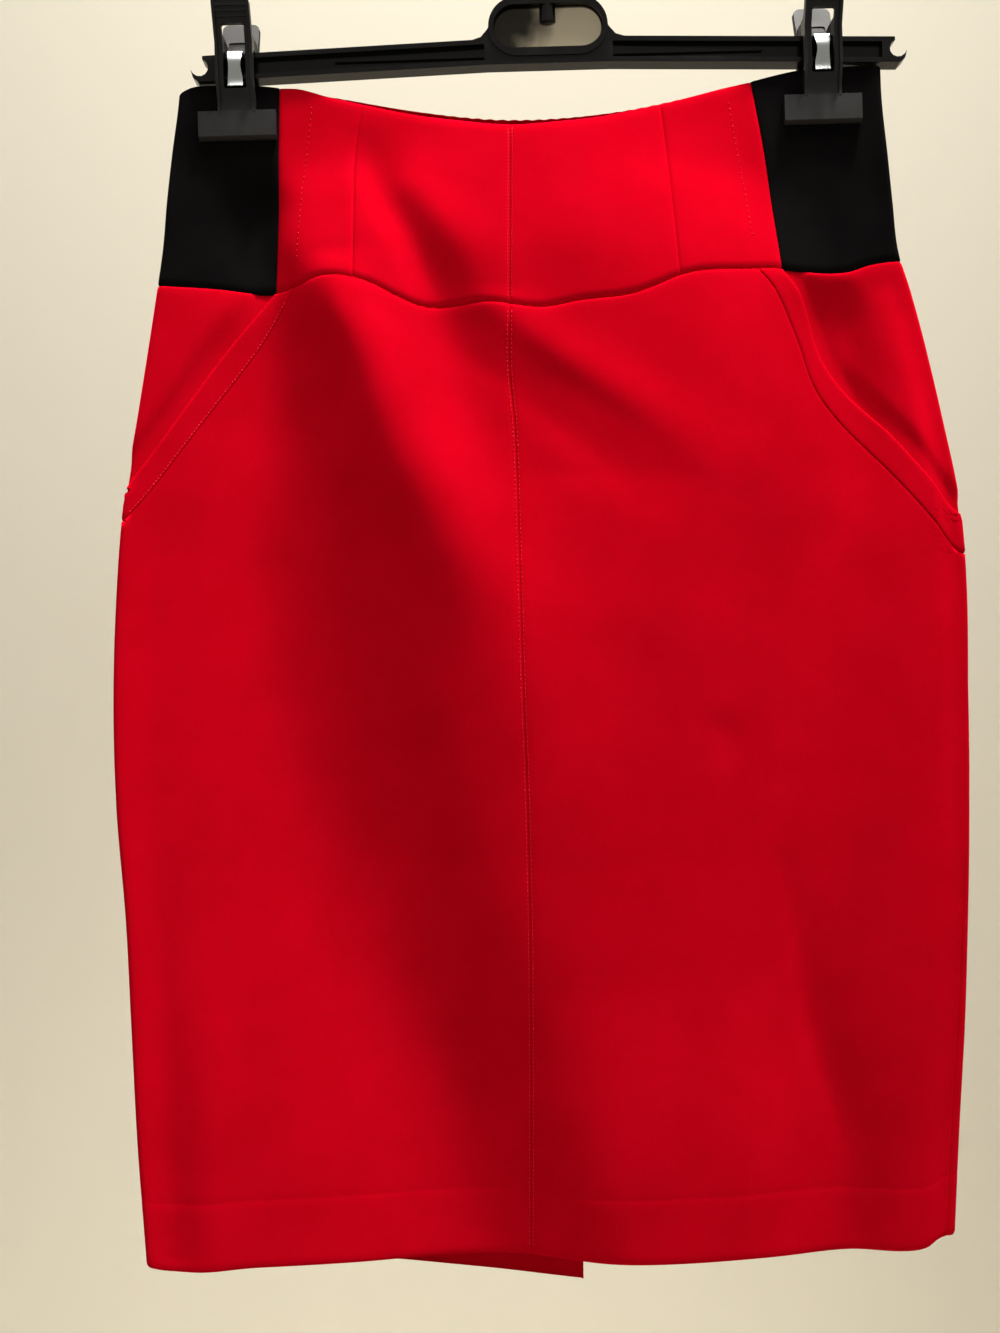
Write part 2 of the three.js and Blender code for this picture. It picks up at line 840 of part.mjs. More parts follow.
// A rectangle with round corners, standing between two heights.
function roundedShape(halfWide, low, high, radius) {
  const shape = new THREE.Shape();
  shape.moveTo(-halfWide + radius, low);
  shape.lineTo(halfWide - radius, low);
  shape.absarc(halfWide - radius, low + radius, radius, -Math.PI / 2, 0, false);
  shape.lineTo(halfWide, high - radius);
  shape.absarc(halfWide - radius, high - radius, radius, 0, Math.PI / 2, false);
  shape.lineTo(-halfWide + radius, high);
  shape.absarc(-halfWide + radius, high - radius, radius, Math.PI / 2, Math.PI, false);
  shape.lineTo(-halfWide, low + radius);
  shape.absarc(-halfWide + radius, low + radius, radius, Math.PI, 1.5 * Math.PI, false);
  return shape;
}

const barTop = (x) => BAR_TOP_MID - BAR_SLOPE * Math.max(Math.abs(x) - BAR_KNEE, 0);
const barBottom = (x) => barTop(x) - BAR_TALL;
const barMiddle = (x) => barTop(x) - BAR_TALL / 2;

// Half outline of the bar, from the middle of the top round the notched end to the bottom.
function barHalf(sign) {
  const notchX = 187.6;
  const notchZ = -98.4;
  const notchR = 4.6;
  const points = [
    [0, BAR_TOP_MID],
    [BAR_KNEE, BAR_TOP_MID],
    [BAR_END, barTop(BAR_END)],
  ];
  for (let degrees = 110; degrees <= 320; degrees += 30) {
    const a = (degrees * Math.PI) / 180;
    points.push([notchX + notchR * Math.cos(a), notchZ + notchR * Math.sin(a)]);
  }
  points.push([192.4, -99.3], [191.2, -103.6], [188.6, barBottom(BAR_END)]);
  points.push([BAR_KNEE, barBottom(0)], [0, barBottom(0)]);
  return points.map(([x, z]) => [sign * x, z]);
}

function hangerBar() {
  const right = barHalf(1);
  const left = barHalf(-1).reverse().slice(1, -1);
  const outline = right.concat(left);
  const halfDepth = BAR_DEPTH / 2;
  let solid = upright(polygon(outline), -halfDepth, halfDepth);
  const oval = roundedShape(OVAL_HALF, OVAL_BOTTOM, OVAL_TOP, 15.9);
  solid = solid.add(upright(oval, -halfDepth - 0.5, halfDepth + 0.5, 6));
  for (const sign of [-1, 1]) {
    const fillet = polygon([
      [sign * 30, -76],
      [sign * 32.6, -82],
      [sign * 36.2, -86.2],
      [sign * 41, BAR_TOP_MID - 0.3],
      [sign * 30, BAR_TOP_MID - 2],
    ]);
    solid = solid.add(upright(fillet, -halfDepth, halfDepth));
  }
  const recessIn = 34.5;
  const recessOut = 179;
  const discHole = roundedShape(29.4, -92.6, -69.4, 11.55);
  for (const side of [-1, 1]) {
    const webFace = (side * WEB) / 2;
    const outFace = side * (halfDepth + 2);
    const from = Math.min(webFace, outFace);
    const to = Math.max(webFace, outFace);
    solid = solid.subtract(upright(discHole, from, to, 6));
    for (const sign of [-1, 1]) {
      const arm = polygon([
        [sign * recessIn, barTop(recessIn) - FLANGE],
        [sign * recessOut, barTop(recessOut) - FLANGE],
        [sign * recessOut, barBottom(recessOut) + FLANGE],
        [sign * recessIn, barBottom(recessIn) + FLANGE],
      ]);
      solid = solid.subtract(upright(arm, from, to));
      const rib = polygon([
        [sign * 115, barMiddle(115)],
        [sign * 34, barMiddle(34) + 2.2],
        [sign * 34, barMiddle(34) - 2.2],
      ]);
      const ribOut = side * (halfDepth - 1.4);
      const ribIn = side * (WEB / 2 - 0.4);
      solid = solid.add(upright(rib, Math.min(ribIn, ribOut), Math.max(ribIn, ribOut)));
    }
  }
  const boss = new THREE.CylinderGeometry(4.6, 4.6, 16.6, 16);
  boss.rotateX(Math.PI / 2);
  boss.translate(0, 0, -69.9);
  const bossFoot = new THREE.SphereGeometry(4.6, 16, 6);
  bossFoot.rotateX(Math.PI / 2);
  bossFoot.translate(0, 0, -78.2 + 4.2);
  solid = solid.add(toSolid(boss)).add(toSolid(bossFoot));
  const bore = new THREE.CylinderGeometry(WIRE / 2 + 0.4, WIRE / 2 + 0.4, 16, 14);
  bore.rotateX(Math.PI / 2);
  bore.translate(0, 0, -66.5);
  return fromSolid(solid.subtract(toSolid(bore)));
}

function hangerHook() {
  const mid = HOOK_RADIUS + WIRE / 2;
  const path = new THREE.CurvePath();
  path.add(new THREE.LineCurve3(new THREE.Vector3(0, 0, -74.2), new THREE.Vector3(0, 0, -58)));
  path.add(
    new THREE.CubicBezierCurve3(
      new THREE.Vector3(0, 0, -58),
      new THREE.Vector3(0, 0, -42),
      new THREE.Vector3(mid, 0, -42),
      new THREE.Vector3(mid, 0, -HOOK_RADIUS),
    ),
  );
  const crown = [];
  for (let degrees = 0; degrees <= 205; degrees += 10.25) {
    const a = (degrees * Math.PI) / 180;
    crown.push(new THREE.Vector3(mid * Math.cos(a), 0, -HOOK_RADIUS + mid * Math.sin(a)));
  }
  path.add(new THREE.CatmullRomCurve3(crown));
  const round = new THREE.Shape();
  round.absarc(0, 0, WIRE / 2, 0, Math.PI * 2, false);
  return fromSolid(
    toSolid(
      new THREE.ExtrudeGeometry(round, {
        steps: 36,
        curveSegments: 5,
        bevelEnabled: false,
        extrudePath: path,
      }),
    ),
  );
}

// Half a clip, side -1 in front of the cloth and +1 behind it.
function clipHalf(middleX, side) {
  const half = LEVER_WIDE / 2;
  const outline = (points) => points.map(([y, z]) => [side * y, z]);
  const plate = outline([
    [12.6, -66.6],
    [5.5, -87],
    [5.5, -106.6],
    [2.2, -115],
    [2.2, -124],
    [4.7, -124],
    [4.7, -116.2],
    [7.9, -107],
    [7.9, -87.6],
    [14.8, -66.4],
  ]);
  const flange = outline([
    [13.8, -67],
    [6.6, -87.4],
    [6.6, -106.4],
    [3.4, -115.6],
    [3.4, -123.4],
    [5.7, -123.4],
    [5.9, -117],
    [9.1, -107],
    [9.1, -87.8],
    [15.8, -67.6],
  ]);
  let solid = lengthwise(plate, middleX - half, middleX + half);
  solid = solid.add(lengthwise(flange, middleX - half, middleX - half + 1.5));
  solid = solid.add(lengthwise(flange, middleX + half - 1.5, middleX + half));
  const jaw = outline([
    [2.1, -122.7],
    [2.1, -137.5],
    [3.1, -137.5],
    [5.6, -136.1],
    [5.6, -122.7],
  ]);
  solid = solid.add(lengthwise(jaw, middleX - JAW_WIDE / 2, middleX + JAW_WIDE / 2));
  for (const sign of [-1, 1]) {
    const tab = outline([
      [0.35, -81.5],
      [0.35, -88.4],
      [3, -89.9],
      [6.8, -89.9],
      [9, -81.5],
    ]);
    const near = middleX + sign * 6.6;
    const far = middleX + sign * 9.6;
    solid = solid.add(lengthwise(tab, Math.min(near, far), Math.max(near, far)));
  }
  for (const z of [-70.5, -73, -75.5]) {
    const y = 12.6 - ((-66.6 - z) * 7.1) / 20.4;
    const rib = outline([
      [y + 1.4, z + 0.5],
      [y + 1.2, z - 0.7],
      [y + 2.8, z - 0.9],
      [y + 3, z + 0.3],
    ]);
    solid = solid.add(lengthwise(rib, middleX - half + 1, middleX + half - 1));
  }
  const window = roundedShape(6, -111.2, -78.8, 1);
  const cutFrom = Math.min(side * 2, side * 20);
  const cutTo = Math.max(side * 2, side * 20);
  const cutter = new THREE.ExtrudeGeometry(window, { depth: 18, bevelEnabled: false, curveSegments: 3 });
  cutter.applyMatrix4(new THREE.Matrix4().makeBasis(X_AXIS, Z_AXIS, Y_AXIS.clone().negate()));
  cutter.translate(middleX, cutTo, 0);
  solid = solid.subtract(toSolid(cutter));
  const shoulder = new THREE.Shape();
  const corner = 3.5;
  shoulder.moveTo(half + 1, -66.6 - corner);
  shoulder.lineTo(half + 1, -60);
  shoulder.lineTo(-half - 1, -60);
  shoulder.lineTo(-half - 1, -66.6 - corner);
  shoulder.lineTo(-half, -66.6 - corner);
  shoulder.absarc(-half + corner, -66.6 - corner, corner, Math.PI, Math.PI / 2, true);
  shoulder.lineTo(half - corner, -66.6);
  shoulder.absarc(half - corner, -66.6 - corner, corner, Math.PI / 2, 0, true);
  const trim = new THREE.ExtrudeGeometry(shoulder, {
    depth: cutTo - cutFrom,
    bevelEnabled: false,
    curveSegments: 4,
  });
  trim.applyMatrix4(new THREE.Matrix4().makeBasis(X_AXIS, Z_AXIS, Y_AXIS.clone().negate()));
  trim.translate(middleX, cutTo, 0);
  return fromSolid(solid.subtract(toSolid(trim)));
}

// Spring strip over the bar, pressing both halves apart above and together below.
function clipSpring(middleX) {
  const crown = barTop(middleX) + 0.65;
  const arm = [
    [6.9, -110.2],
    [5.95, -106.4],
    [5.95, -104],
    [7.3, -99.5],
    [7.2, -95],
    [6.4, -93],
    [5.9, crown - 0.7],
    [5.1, crown + 0.1],
  ];
  const front = arm.map(([y, z]) => [-y, z]);
  const back = arm.slice().reverse();
  const line = front.concat([[0, crown + 0.1]], back).map(([y, z]) => new THREE.Vector2(y, z));
  const thick = 0.5;
  const offset = (way) =>
    line.map((p, i) => {
      const a = line[Math.max(i - 1, 0)];
      const b = line[Math.min(i + 1, line.length - 1)];
      const along = b.clone().sub(a).normalize();
      return [p.x - (way * along.y * thick) / 2, p.y + (way * along.x * thick) / 2];
    });
  const outline = offset(1).concat(offset(-1).reverse());
  return fromSolid(lengthwise(outline, middleX - 4, middleX + 4));
}

function hanger(group) {
  const pieces = [
    named("hanger_bar", hangerBar(), blackPlastic()),
    named("hanger_hook", hangerHook(), blackPlastic()),
    named("clip_left_front", clipHalf(CLIP_LEFT_X, -1), blackPlastic()),
    named("clip_left_back", clipHalf(CLIP_LEFT_X, 1), blackPlastic()),
    named("clip_right_front", clipHalf(CLIP_RIGHT_X, -1), blackPlastic()),
    named("clip_right_back", clipHalf(CLIP_RIGHT_X, 1), blackPlastic()),
    named("spring_left", clipSpring(CLIP_LEFT_X), brightSteel()),
    named("spring_right", clipSpring(CLIP_RIGHT_X), brightSteel()),
  ];
  for (const piece of pieces) {
    piece.geometry.rotateY(-TILT);
    piece.geometry.computeVertexNormals();
    group.add(piece);
  }
}

const part = new THREE.Group();
part.name = "pencil_skirt_on_clip_hanger";
skirt(part);
hanger(part);

export default part;
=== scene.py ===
import math

import bmesh
import bpy
import numpy as np
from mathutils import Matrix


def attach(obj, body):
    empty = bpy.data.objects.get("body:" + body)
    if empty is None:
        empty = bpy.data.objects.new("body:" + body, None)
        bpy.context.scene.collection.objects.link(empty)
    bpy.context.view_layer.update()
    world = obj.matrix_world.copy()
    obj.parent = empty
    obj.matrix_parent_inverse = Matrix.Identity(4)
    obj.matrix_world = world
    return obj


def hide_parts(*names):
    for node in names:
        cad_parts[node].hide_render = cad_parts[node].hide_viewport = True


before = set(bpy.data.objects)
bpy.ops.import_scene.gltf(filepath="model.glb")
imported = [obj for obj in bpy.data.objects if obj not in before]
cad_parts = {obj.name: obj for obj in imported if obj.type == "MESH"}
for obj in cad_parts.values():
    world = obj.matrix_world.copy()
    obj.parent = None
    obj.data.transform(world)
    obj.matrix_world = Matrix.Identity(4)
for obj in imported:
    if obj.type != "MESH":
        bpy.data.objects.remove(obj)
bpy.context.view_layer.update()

# The tables are in millimetres, as the skirt was drafted; meshes are in metres.
MM = 0.001

# Cloth and seams
CLOTH_THICK = 1.2
LOOP = 3.4
LAID = 1.8
LAID_BELOW = 3.1
LOOP_FADE = 6
BAND_LIFT = 0.2
UNDER_BAND = 1.3
SIDE_SEAM_BACK = -5
VENT_TOP = -553
VENT_SUNK = -568
VENT_OPEN = -586
FOOT_LEFT = -347
FOOT_RIGHT = -363
TURN_LEFT = -320
TURN_RIGHT = -336
VENT_LAP = 23
UNDERLAP = 1.9
HEM_DEPTH = 35
STEP = 3.4

# Hanger
TILT = math.radians(1.62)
HOOK_RADIUS = 20
WIRE = 5.2
HOOK_FOOT = -74.2
SHANK_TOP = -58
WEB = 2.4
OVAL_MIDDLE = -81


def table(rows):
    """Rows in rising order of their first column."""
    return np.array(sorted(rows), float)


# One row per height: height, left edge x and y, right edge x and y,
# flat width at the left and right edge, front and back fullness, roundness.
SECTIONS = table([
    [-90, -195.5, 0, 181.5, 0, 66, 66, 9, 4, 2],
    [-118, -196.5, 0, 182.5, 0, 66, 66, 13, 6, 2],
    [-150, -200.5, 0, 185.9, 0, 60, 62, 17, 8, 2],
    [-175, -203, -0.7, 189, 1.3, 40, 42, 19, 10, 2.2],
    [-200, -205, -0.9, 192, 1.7, 22, 26, 20, 11, 2.4],
    [-222, -208, -1.2, 199, 2.2, 14, 18, 20, 12, 2.6],
    [-250, -212, -1.8, 207, 3.1, 10, 12, 20, 12, 2.8],
    [-290, -218, -2.7, 217, 4.3, 8, 8, 20, 13, 3],
    [-335, -225, -3.8, 227, 5.7, 6, 6, 20, 13, 3.4],
    [-380, -228.5, -4.8, 231.5, 7.3, 6, 6, 19, 13, 3.6],
    [-440, -230, -6.1, 233.5, 9.5, 6, 6, 18, 12, 3.8],
    [-500, -228, -7.4, 235, 12, 6, 6, 17, 11, 4],
    [-560, -222.5, -8.8, 235.5, 14.7, 6, 6, 16, 11, 4],
    [-620, -219, -9.9, 235, 17.4, 6, 6, 15, 10, 4.2],
    [-680, -215.5, -10.8, 233, 20.2, 6, 6, 15, 10, 4.4],
    [-740, -210.5, -11.6, 231.5, 23, 6, 6, 14, 9, 4.6],
    [-775, -208, -12, 231, 24.6, 6, 6, 14, 9, 4.6],
])

# Folds, one row per height: height, x of the crest, rise (minus is a hollow),
# width to the left of the crest, width to the right.
FRONT_FOLDS = {
    "left_valley": table([
        [-152, -156, 0, 16, 12],
        [-164, -154, -3.2, 18, 12],
        [-178, -153, -7.2, 20, 14],
        [-205, -151, -9, 22, 15],
        [-232, -147, -8, 26, 22],
        [-260, -145, -10, 32, 32],
        [-312, -147, -11.5, 38, 44],
        [-364, -147, -12, 46, 62],
        [-442, -132, -12.5, 58, 68],
        [-520, -106, -13.5, 68, 64],
        [-598, -76, -13.5, 76, 58],
        [-676, -48, -13, 80, 52],
        [-775, -20, -12, 80, 50],
    ]),
    "centre_ridge": table([
        [-205, -112, 0, 14, 22],
        [-230, -108, 4, 15, 24],
        [-260, -95, 7, 20, 26],
        [-312, -74, 8.5, 26, 32],
        [-364, -50, 8.5, 32, 38],
        [-400, -36, 7.5, 38, 44],
        [-442, -20, 7, 44, 52],
        [-520, 6, 6.5, 50, 60],
        [-598, 14, 6, 50, 60],
        [-676, 32, 6, 44, 60],
        [-775, 48, 6, 44, 60],
    ]),
    "yoke_hollow": table([
        [-135, -96, 0, 9, 11],
        [-165, -88, -2.2, 10, 12],
        [-205, -68, -3.4, 12, 12],
        [-240, -54, -2.4, 13, 14],
        [-290, -40, -1, 14, 18],
        [-340, -22, 0, 16, 20],
    ]),
    "right_hollow": table([
        [-215, 158, 0, 24, 12],
        [-240, 162, -6, 28, 13],
        [-290, 164, -8, 34, 18],
        [-360, 152, -9, 40, 28],
        [-450, 143, -8.5, 40, 32],
        [-540, 136, -7.5, 40, 32],
        [-620, 140, -7, 40, 28],
        [-700, 160, -5, 38, 24],
        [-775, 174, -4, 36, 20],
    ]),
    "right_ridge": table([
        [-220, 194, 0, 18, 12],
        [-260, 204, 5, 28, 12],
        [-340, 208, 8, 32, 14],
        [-450, 208, 10, 36, 18],
        [-620, 206, 10, 36, 18],
        [-775, 206, 9, 30, 16],
    ]),
    "left_ridge": table([
        [-560, -182, 0, 16, 18],
        [-660, -180, 2, 16, 18],
        [-740, -178, 3, 16, 18],
        [-775, -178, 3, 16, 18],
    ]),
}
BACK_FOLDS = {
    "back_hollow": table([
        [-240, 60, 0, 40, 40],
        [-330, 58, -4, 44, 44],
        [-480, 40, -5, 54, 54],
        [-640, 30, -3, 60, 60],
        [-775, 30, -2, 60, 60],
    ]),
    "behind_left_valley": table([
        [-152, -156, 0, 16, 12],
        [-163, -154, 4, 18, 12],
        [-178, -153, 8, 20, 14],
        [-205, -150, 8.5, 22, 15],
        [-232, -143, 5, 26, 20],
        [-260, -138, 2, 40, 28],
        [-312, -138, 0, 56, 38],
    ]),
}

# Smaller folds that only the dressed cloth has, in the same columns.
FRONT_CREASES = {
    "under_centre": table([
        [-240, -50, 0, 12, 16],
        [-258, -44, -0.3, 12, 16],
        [-286, -8, -0.5, 14, 20],
        [-318, 34, -0.7, 16, 24],
        [-350, 64, 0, 18, 28],
    ]),
    "bright_spot": table([
        [-228, -30, 0, 16, 20],
        [-240, -18, 1.1, 16, 22],
        [-262, 8, 1.6, 16, 24],
        [-302, 66, 0.9, 18, 28],
        [-335, 100, 0, 18, 28],
    ]),
    "yoke_crest": table([
        [-165, -72, 0, 10, 18],
        [-205, -42, 1.4, 11, 20],
        [-240, -26, 1, 12, 22],
        [-275, -8, 0, 14, 24],
    ]),
    "middle_swell": table([
        [-325, 20, 0, 40, 60],
        [-365, 24, 2, 44, 70],
        [-400, 28, 3, 46, 70],
        [-450, 34, 2, 50, 70],
        [-530, 44, 0, 50, 70],
    ]),
    "right_crease": table([
        [-520, 128, 0, 5, 9],
        [-560, 136, -0.9, 6, 11],
        [-610, 144, -1.2, 7, 13],
        [-660, 158, -1.0, 7, 13],
        [-705, 172, 0, 6, 12],
    ]),
    "small_dent": table([
        [-446, 92, 0, 9, 12],
        [-460, 95, -0.5, 9, 12],
        [-484, 99, 0, 9, 12],
    ]),
    "left_streak": table([
        [-400, -62, 0, 10, 14],
        [-470, -46, 1.2, 14, 18],
        [-560, -24, 1.4, 18, 22],
        [-640, -10, 0, 18, 22],
    ]),
    "left_low": table([
        [-520, -206, 0, 12, 12],
        [-600, -203, -1.0, 12, 14],
        [-690, -198, -1.2, 12, 14],
        [-740, -196, -0.6, 12, 14],
    ]),
}
BACK_CREASES = {
    "seat_left": table([
        [-250, -120, 0, 22, 26],
        [-330, -112, -1.8, 26, 32],
        [-460, -96, -1.6, 30, 40],
        [-620, -84, 0, 30, 40],
    ]),
    "seat_right": table([
        [-240, 128, 0, 20, 24],
        [-320, 132, -1.8, 26, 28],
        [-430, 140, -1.2, 30, 34],
        [-560, 146, 0, 30, 34],
    ]),
    "low_ridge": table([
        [-520, -140, 0, 26, 30],
        [-620, -132, 1.6, 28, 34],
        [-740, -126, 2.2, 30, 36],
        [-775, -126, 2.2, 30, 36],
    ]),
}

# Edge lines across the skirt: x, height.
TOP_FRONT = table([
    [-196, -117.5], [-187, -112.8], [-154, -112.4], [-142, -113.5], [-131, -114],
    [-115, -118.7], [-98, -123.6], [-66, -132.8], [-34, -139], [-18, -140.6],
    [-2, -139.7], [29, -134.9], [62, -125.4], [95, -114.5], [112, -110],
    [128, -105.9], [141, -103.4], [162, -102], [177, -101.5], [182, -103],
])
TOP_BACK = table([
    [-196, -117.5], [-187, -112.8], [-154, -112.4], [-120, -116.4], [-70, -123],
    [-18, -126.3], [40, -122.9], [90, -114.4], [128, -106.3], [141, -103.4],
    [162, -102], [177, -101.5], [182, -103],
])
SEAM_FRONT = table([
    [-208, -220.9], [-175, -222.3], [-144, -224.5], [-132, -222.8], [-121, -220],
    [-111, -219.6], [-101, -221.4], [-90, -225.3], [-78, -231.7], [-66, -236.8],
    [-55, -238], [-30, -235.8], [-2, -238.4], [19, -234.4], [44, -231],
    [57, -226.4], [71, -220], [84, -216.6], [107, -214.3], [127, -212.9],
    [148, -213.9], [164, -212.7], [176, -208.8], [190, -206.8], [197, -207.2],
])
SEAM_BACK = table([
    [-208, -220.9], [-150, -225], [-80, -232], [0, -236], [80, -229],
    [150, -216], [197, -207.2],
])
HEM_FRONT = table([
    [-212, -741], [-198, -744], [-150, -741], [-100, -740], [0, -740.5],
    [60, -742], [130, -744], [200, -744.5], [233, -742],
])
HEM_BACK = table([[-212, -741], [-150, -744], [-90, -749], [-40, -755], [23, -764]])
HEM_BACK_RIGHT = table([[-30, -746], [60, -744], [150, -743], [233, -742]])

# Seam lines down the skirt: height, x.
ELASTIC_LEFT = table([[-90, -141.8], [-142, -142.6], [-175, -143.1], [-240, -144.4]])
ELASTIC_RIGHT = table([[-90, 107], [-110, 111.5], [-152, 119.4], [-181, 123.2], [-225, 129]])
PRINCESS_LEFT = table([[-110, -95], [-125, -97.3], [-150, -100.8], [-183, -100.9], [-240, -100.5]])
PRINCESS_RIGHT = table([[-110, 60], [-127, 62.3], [-160, 66.2], [-190, 68.8], [-235, 72.6]])
CENTRE_FRONT = table([
    [-120, -18], [-182, -18.3], [-237, -18.4], [-271, -18.3], [-302, -15.6],
    [-345, -14.1], [-436, -11.5], [-494, -9.2], [-600, -7.1], [-780, -6.5],
])
# Edge stitching near the elastic, from the photograph's dotted lines.
YOKE_STITCH_LEFT = table([[-110, -123.4], [-128, -125.1], [-150, -127.4], [-176, -129.9], [-220, -132.5]])
YOKE_STITCH_RIGHT = table([[-110, 97.5], [-128, 100.5], [-150, 104.2], [-176, 108.4], [-220, 114.5]])
CENTRE_BACK = table([[-200, -3], [-400, -2], [-780, 0]])
POCKET_LEFT_EDGE = table([
    [-215, -136], [-225, -145.2], [-254.5, -169.4], [-286.2, -192],
    [-312.8, -210.8], [-334, -226.5],
])
POCKET_LEFT_LINE = table([
    [-215, -128], [-225, -134.5], [-252, -151.5], [-279.3, -171.6],
    [-307.3, -192.4], [-334.9, -213.3], [-352, -229],
])
POCKET_RIGHT_EDGE = table([
    [-205, 121], [-213.6, 127.9], [-225.6, 137.7], [-254.4, 147.6], [-268.6, 156.3],
    [-298, 184.3], [-315.2, 198.9], [-331.4, 214], [-345.5, 228.8],
])
POCKET_RIGHT_LINE = table([
    [-205, 107], [-214, 114.4], [-223.8, 123], [-250.2, 135.8], [-277.6, 147.5],
    [-304.7, 172], [-341.7, 204.5], [-355.7, 218], [-368, 232],
])
# How far in front of the right edge the side seam lies: height, distance.
SIDE_RIGHT = table([[-340, -2], [-372, 0], [-450, 2], [-534, 5.3], [-600, 6.9], [-680, 7.6], [-780, 7.8]])


def smooth(t):
    t = np.clip(t, 0, 1)
    return t * t * (3 - 2 * t)


def read(rows, at):
    """Every column of a table at the given keys, passing smoothly through the rows."""
    key, value = rows[:, 0], rows[:, 1:]
    last = len(key) - 1
    at = np.clip(np.asarray(at, float), key[0], key[-1])
    i = np.clip(np.searchsorted(key, at, side="right") - 1, 0, last - 1)
    before, after = np.maximum(i - 1, 0), np.minimum(i + 2, last)
    span = (key[i + 1] - key[i])[..., None]
    t = (at - key[i])[..., None] / span
    slope_a = (value[i + 1] - value[before]) / (key[i + 1] - key[before])[..., None] * span
    slope_b = (value[after] - value[i]) / (key[after] - key[i])[..., None] * span
    out = (
        (2 * t**3 - 3 * t**2 + 1) * value[i]
        + (t**3 - 2 * t**2 + t) * slope_a
        + (3 * t**2 - 2 * t**3) * value[i + 1]
        + (t**3 - t**2) * slope_b
    )
    return np.moveaxis(out, -1, 0)


def line_at(rows, at):
    return read(rows, at)[0]


def folds_at(folds, x, z):
    total = np.zeros_like(x)
    for rows in folds.values():
        crest, rise, left, right = read(rows, z)
        d = (x - crest) / np.where(x < crest, left, right)
        inside = (z >= rows[0, 0]) & (z <= rows[-1, 0])
        total += np.where(inside, rise * np.exp(-d * d), 0)
    return total


ARC = LOOP * math.pi / 2


def half_round(z):
    """Front length of the section, from the left edge round to the right edge."""
    left, right = read(SECTIONS, z)[[0, 2]]
    return right - left + LOOP * (math.pi - 2)


def ripple(x, z, side):
    """Slight unevenness of hanging cloth."""
    return (
        0.16 * np.sin(x / 17.0 + z / 61.0 + 1.3 * side)
        + 0.14 * np.sin(z / 29.0 - x / 47.0 + 0.7)
        + 0.10 * np.sin(x / 9.5 - z / 23.0 + 2.1 * side)
    )


def place(w, z):
    """Points of the skirt's outer face from the length w round it and the height z."""
    xl, yl, xr, yr, flat_l, flat_r, front, back, round_ = read(SECTIONS, z)
    half = xr - xl + LOOP * (math.pi - 2)
    v = np.where(w > half, w - 2 * half, w)
    v = np.where(v < -half, v + 2 * half, v)
    side = np.where(v >= 0, -1.0, 1.0)
    q = np.abs(v)
    x = xl + LOOP + q - ARC
    x = np.where(q < ARC, xl + LOOP * (1 - np.cos(q / LOOP)), x)
    x = np.where(q > half - ARC, xr - LOOP * (1 - np.cos((half - q) / LOOP)), x)
    inset = np.maximum(np.minimum(x - xl, xr - x), 0)
    edge = np.sqrt(np.maximum(1 - (1 - np.minimum(inset / LOOP, 1)) ** 2, 0))
    laid = LAID + (LAID_BELOW - LAID) * smooth((-152 - z) / 60)
    lay = laid + (LOOP - laid) * np.exp(-((inset / LOOP_FADE) ** 2))
    start, end = xl + flat_l, xr - flat_r
    t = np.abs((2 * x - start - end) / (end - start))
    full = np.where(side < 0, front, back) * np.where(t < 1, (1 - np.minimum(t, 1) ** round_) ** 2, 0)
    front_fold = folds_at(FRONT_FOLDS, x, z) + folds_at(FRONT_CREASES, x, z)
    back_fold = folds_at(BACK_FOLDS, x, z) + folds_at(BACK_CREASES, x, z)
    fold = np.where(side < 0, front_fold, back_fold) + ripple(x, z, side) * smooth((-160 - z) / 60)
    fold = fold * smooth((inset - 2) / 18)
    chord = yl + (yr - yl) * (x - xl) / (xr - xl)
    y = chord + side * (lay * edge + full + fold)
    return np.stack([x, y, np.broadcast_to(z, x.shape)], -1), side


def outward(w, z):
    e = 0.6
    across = place(w + e, z)[0] - place(w - e, z)[0]
    up = place(w, z + e)[0] - place(w, z - e)[0]
    n = np.cross(across, up)
    return n / np.linalg.norm(n, axis=-1, keepdims=True)


def front_w(x, z):
    left, right = read(SECTIONS, z)[[0, 2]]
    half = half_round(z)
    inset, other = x - left, right - x
    w = inset - LOOP + ARC
    w = np.where(inset < LOOP, LOOP * np.arccos(np.clip(1 - inset / LOOP, -1, 1)), w)
    return np.where(other < LOOP, half - LOOP * np.arccos(np.clip(1 - other / LOOP, -1, 1)), w)


def on_front(rows):
    return lambda z: front_w(line_at(rows, z), z)


def left_fold(z):
    return np.full_like(z, ARC)


def left_fold_back(z):
    return np.full_like(z, -ARC)


def right_fold(z):
    return half_round(z) - ARC


def right_fold_back(z):
    return half_round(z) + ARC


def side_left(z):
    return np.full_like(z, SIDE_SEAM_BACK)


def side_right(z):
    return half_round(z) - np.maximum(line_at(SIDE_RIGHT, z), -2)


centre_front = on_front(CENTRE_FRONT)
elastic_left = on_front(ELASTIC_LEFT)
elastic_right = on_front(ELASTIC_RIGHT)


def back_seam_left(z):
    return -elastic_left(z)


def back_seam_right(z):
    return 2 * half_round(z) - elastic_right(z)


def pocket_line(rows, side_seam):
    """A pocket line over the front that ends at the side seam."""

    def line(z):
        w = front_w(line_at(rows, z), z)
        turn = smooth((rows[0, 0] + 5 - z) / 5)
        return np.where(z < rows[0, 0], side_seam(z), w + (side_seam(z) - w) * turn)

    return line


left_mouth = pocket_line(POCKET_LEFT_EDGE, side_left)
left_mouth_line = pocket_line(POCKET_LEFT_LINE, side_left)
right_mouth = pocket_line(POCKET_RIGHT_EDGE, side_right)
right_mouth_line = pocket_line(POCKET_RIGHT_LINE, side_right)


def sink_left(w, z):
    return -UNDER_BAND * smooth((w - left_mouth(z) + 16) / 8)


def sink_right(w, z):
    return -UNDER_BAND * smooth((right_mouth(z) - w + 16) / 8)


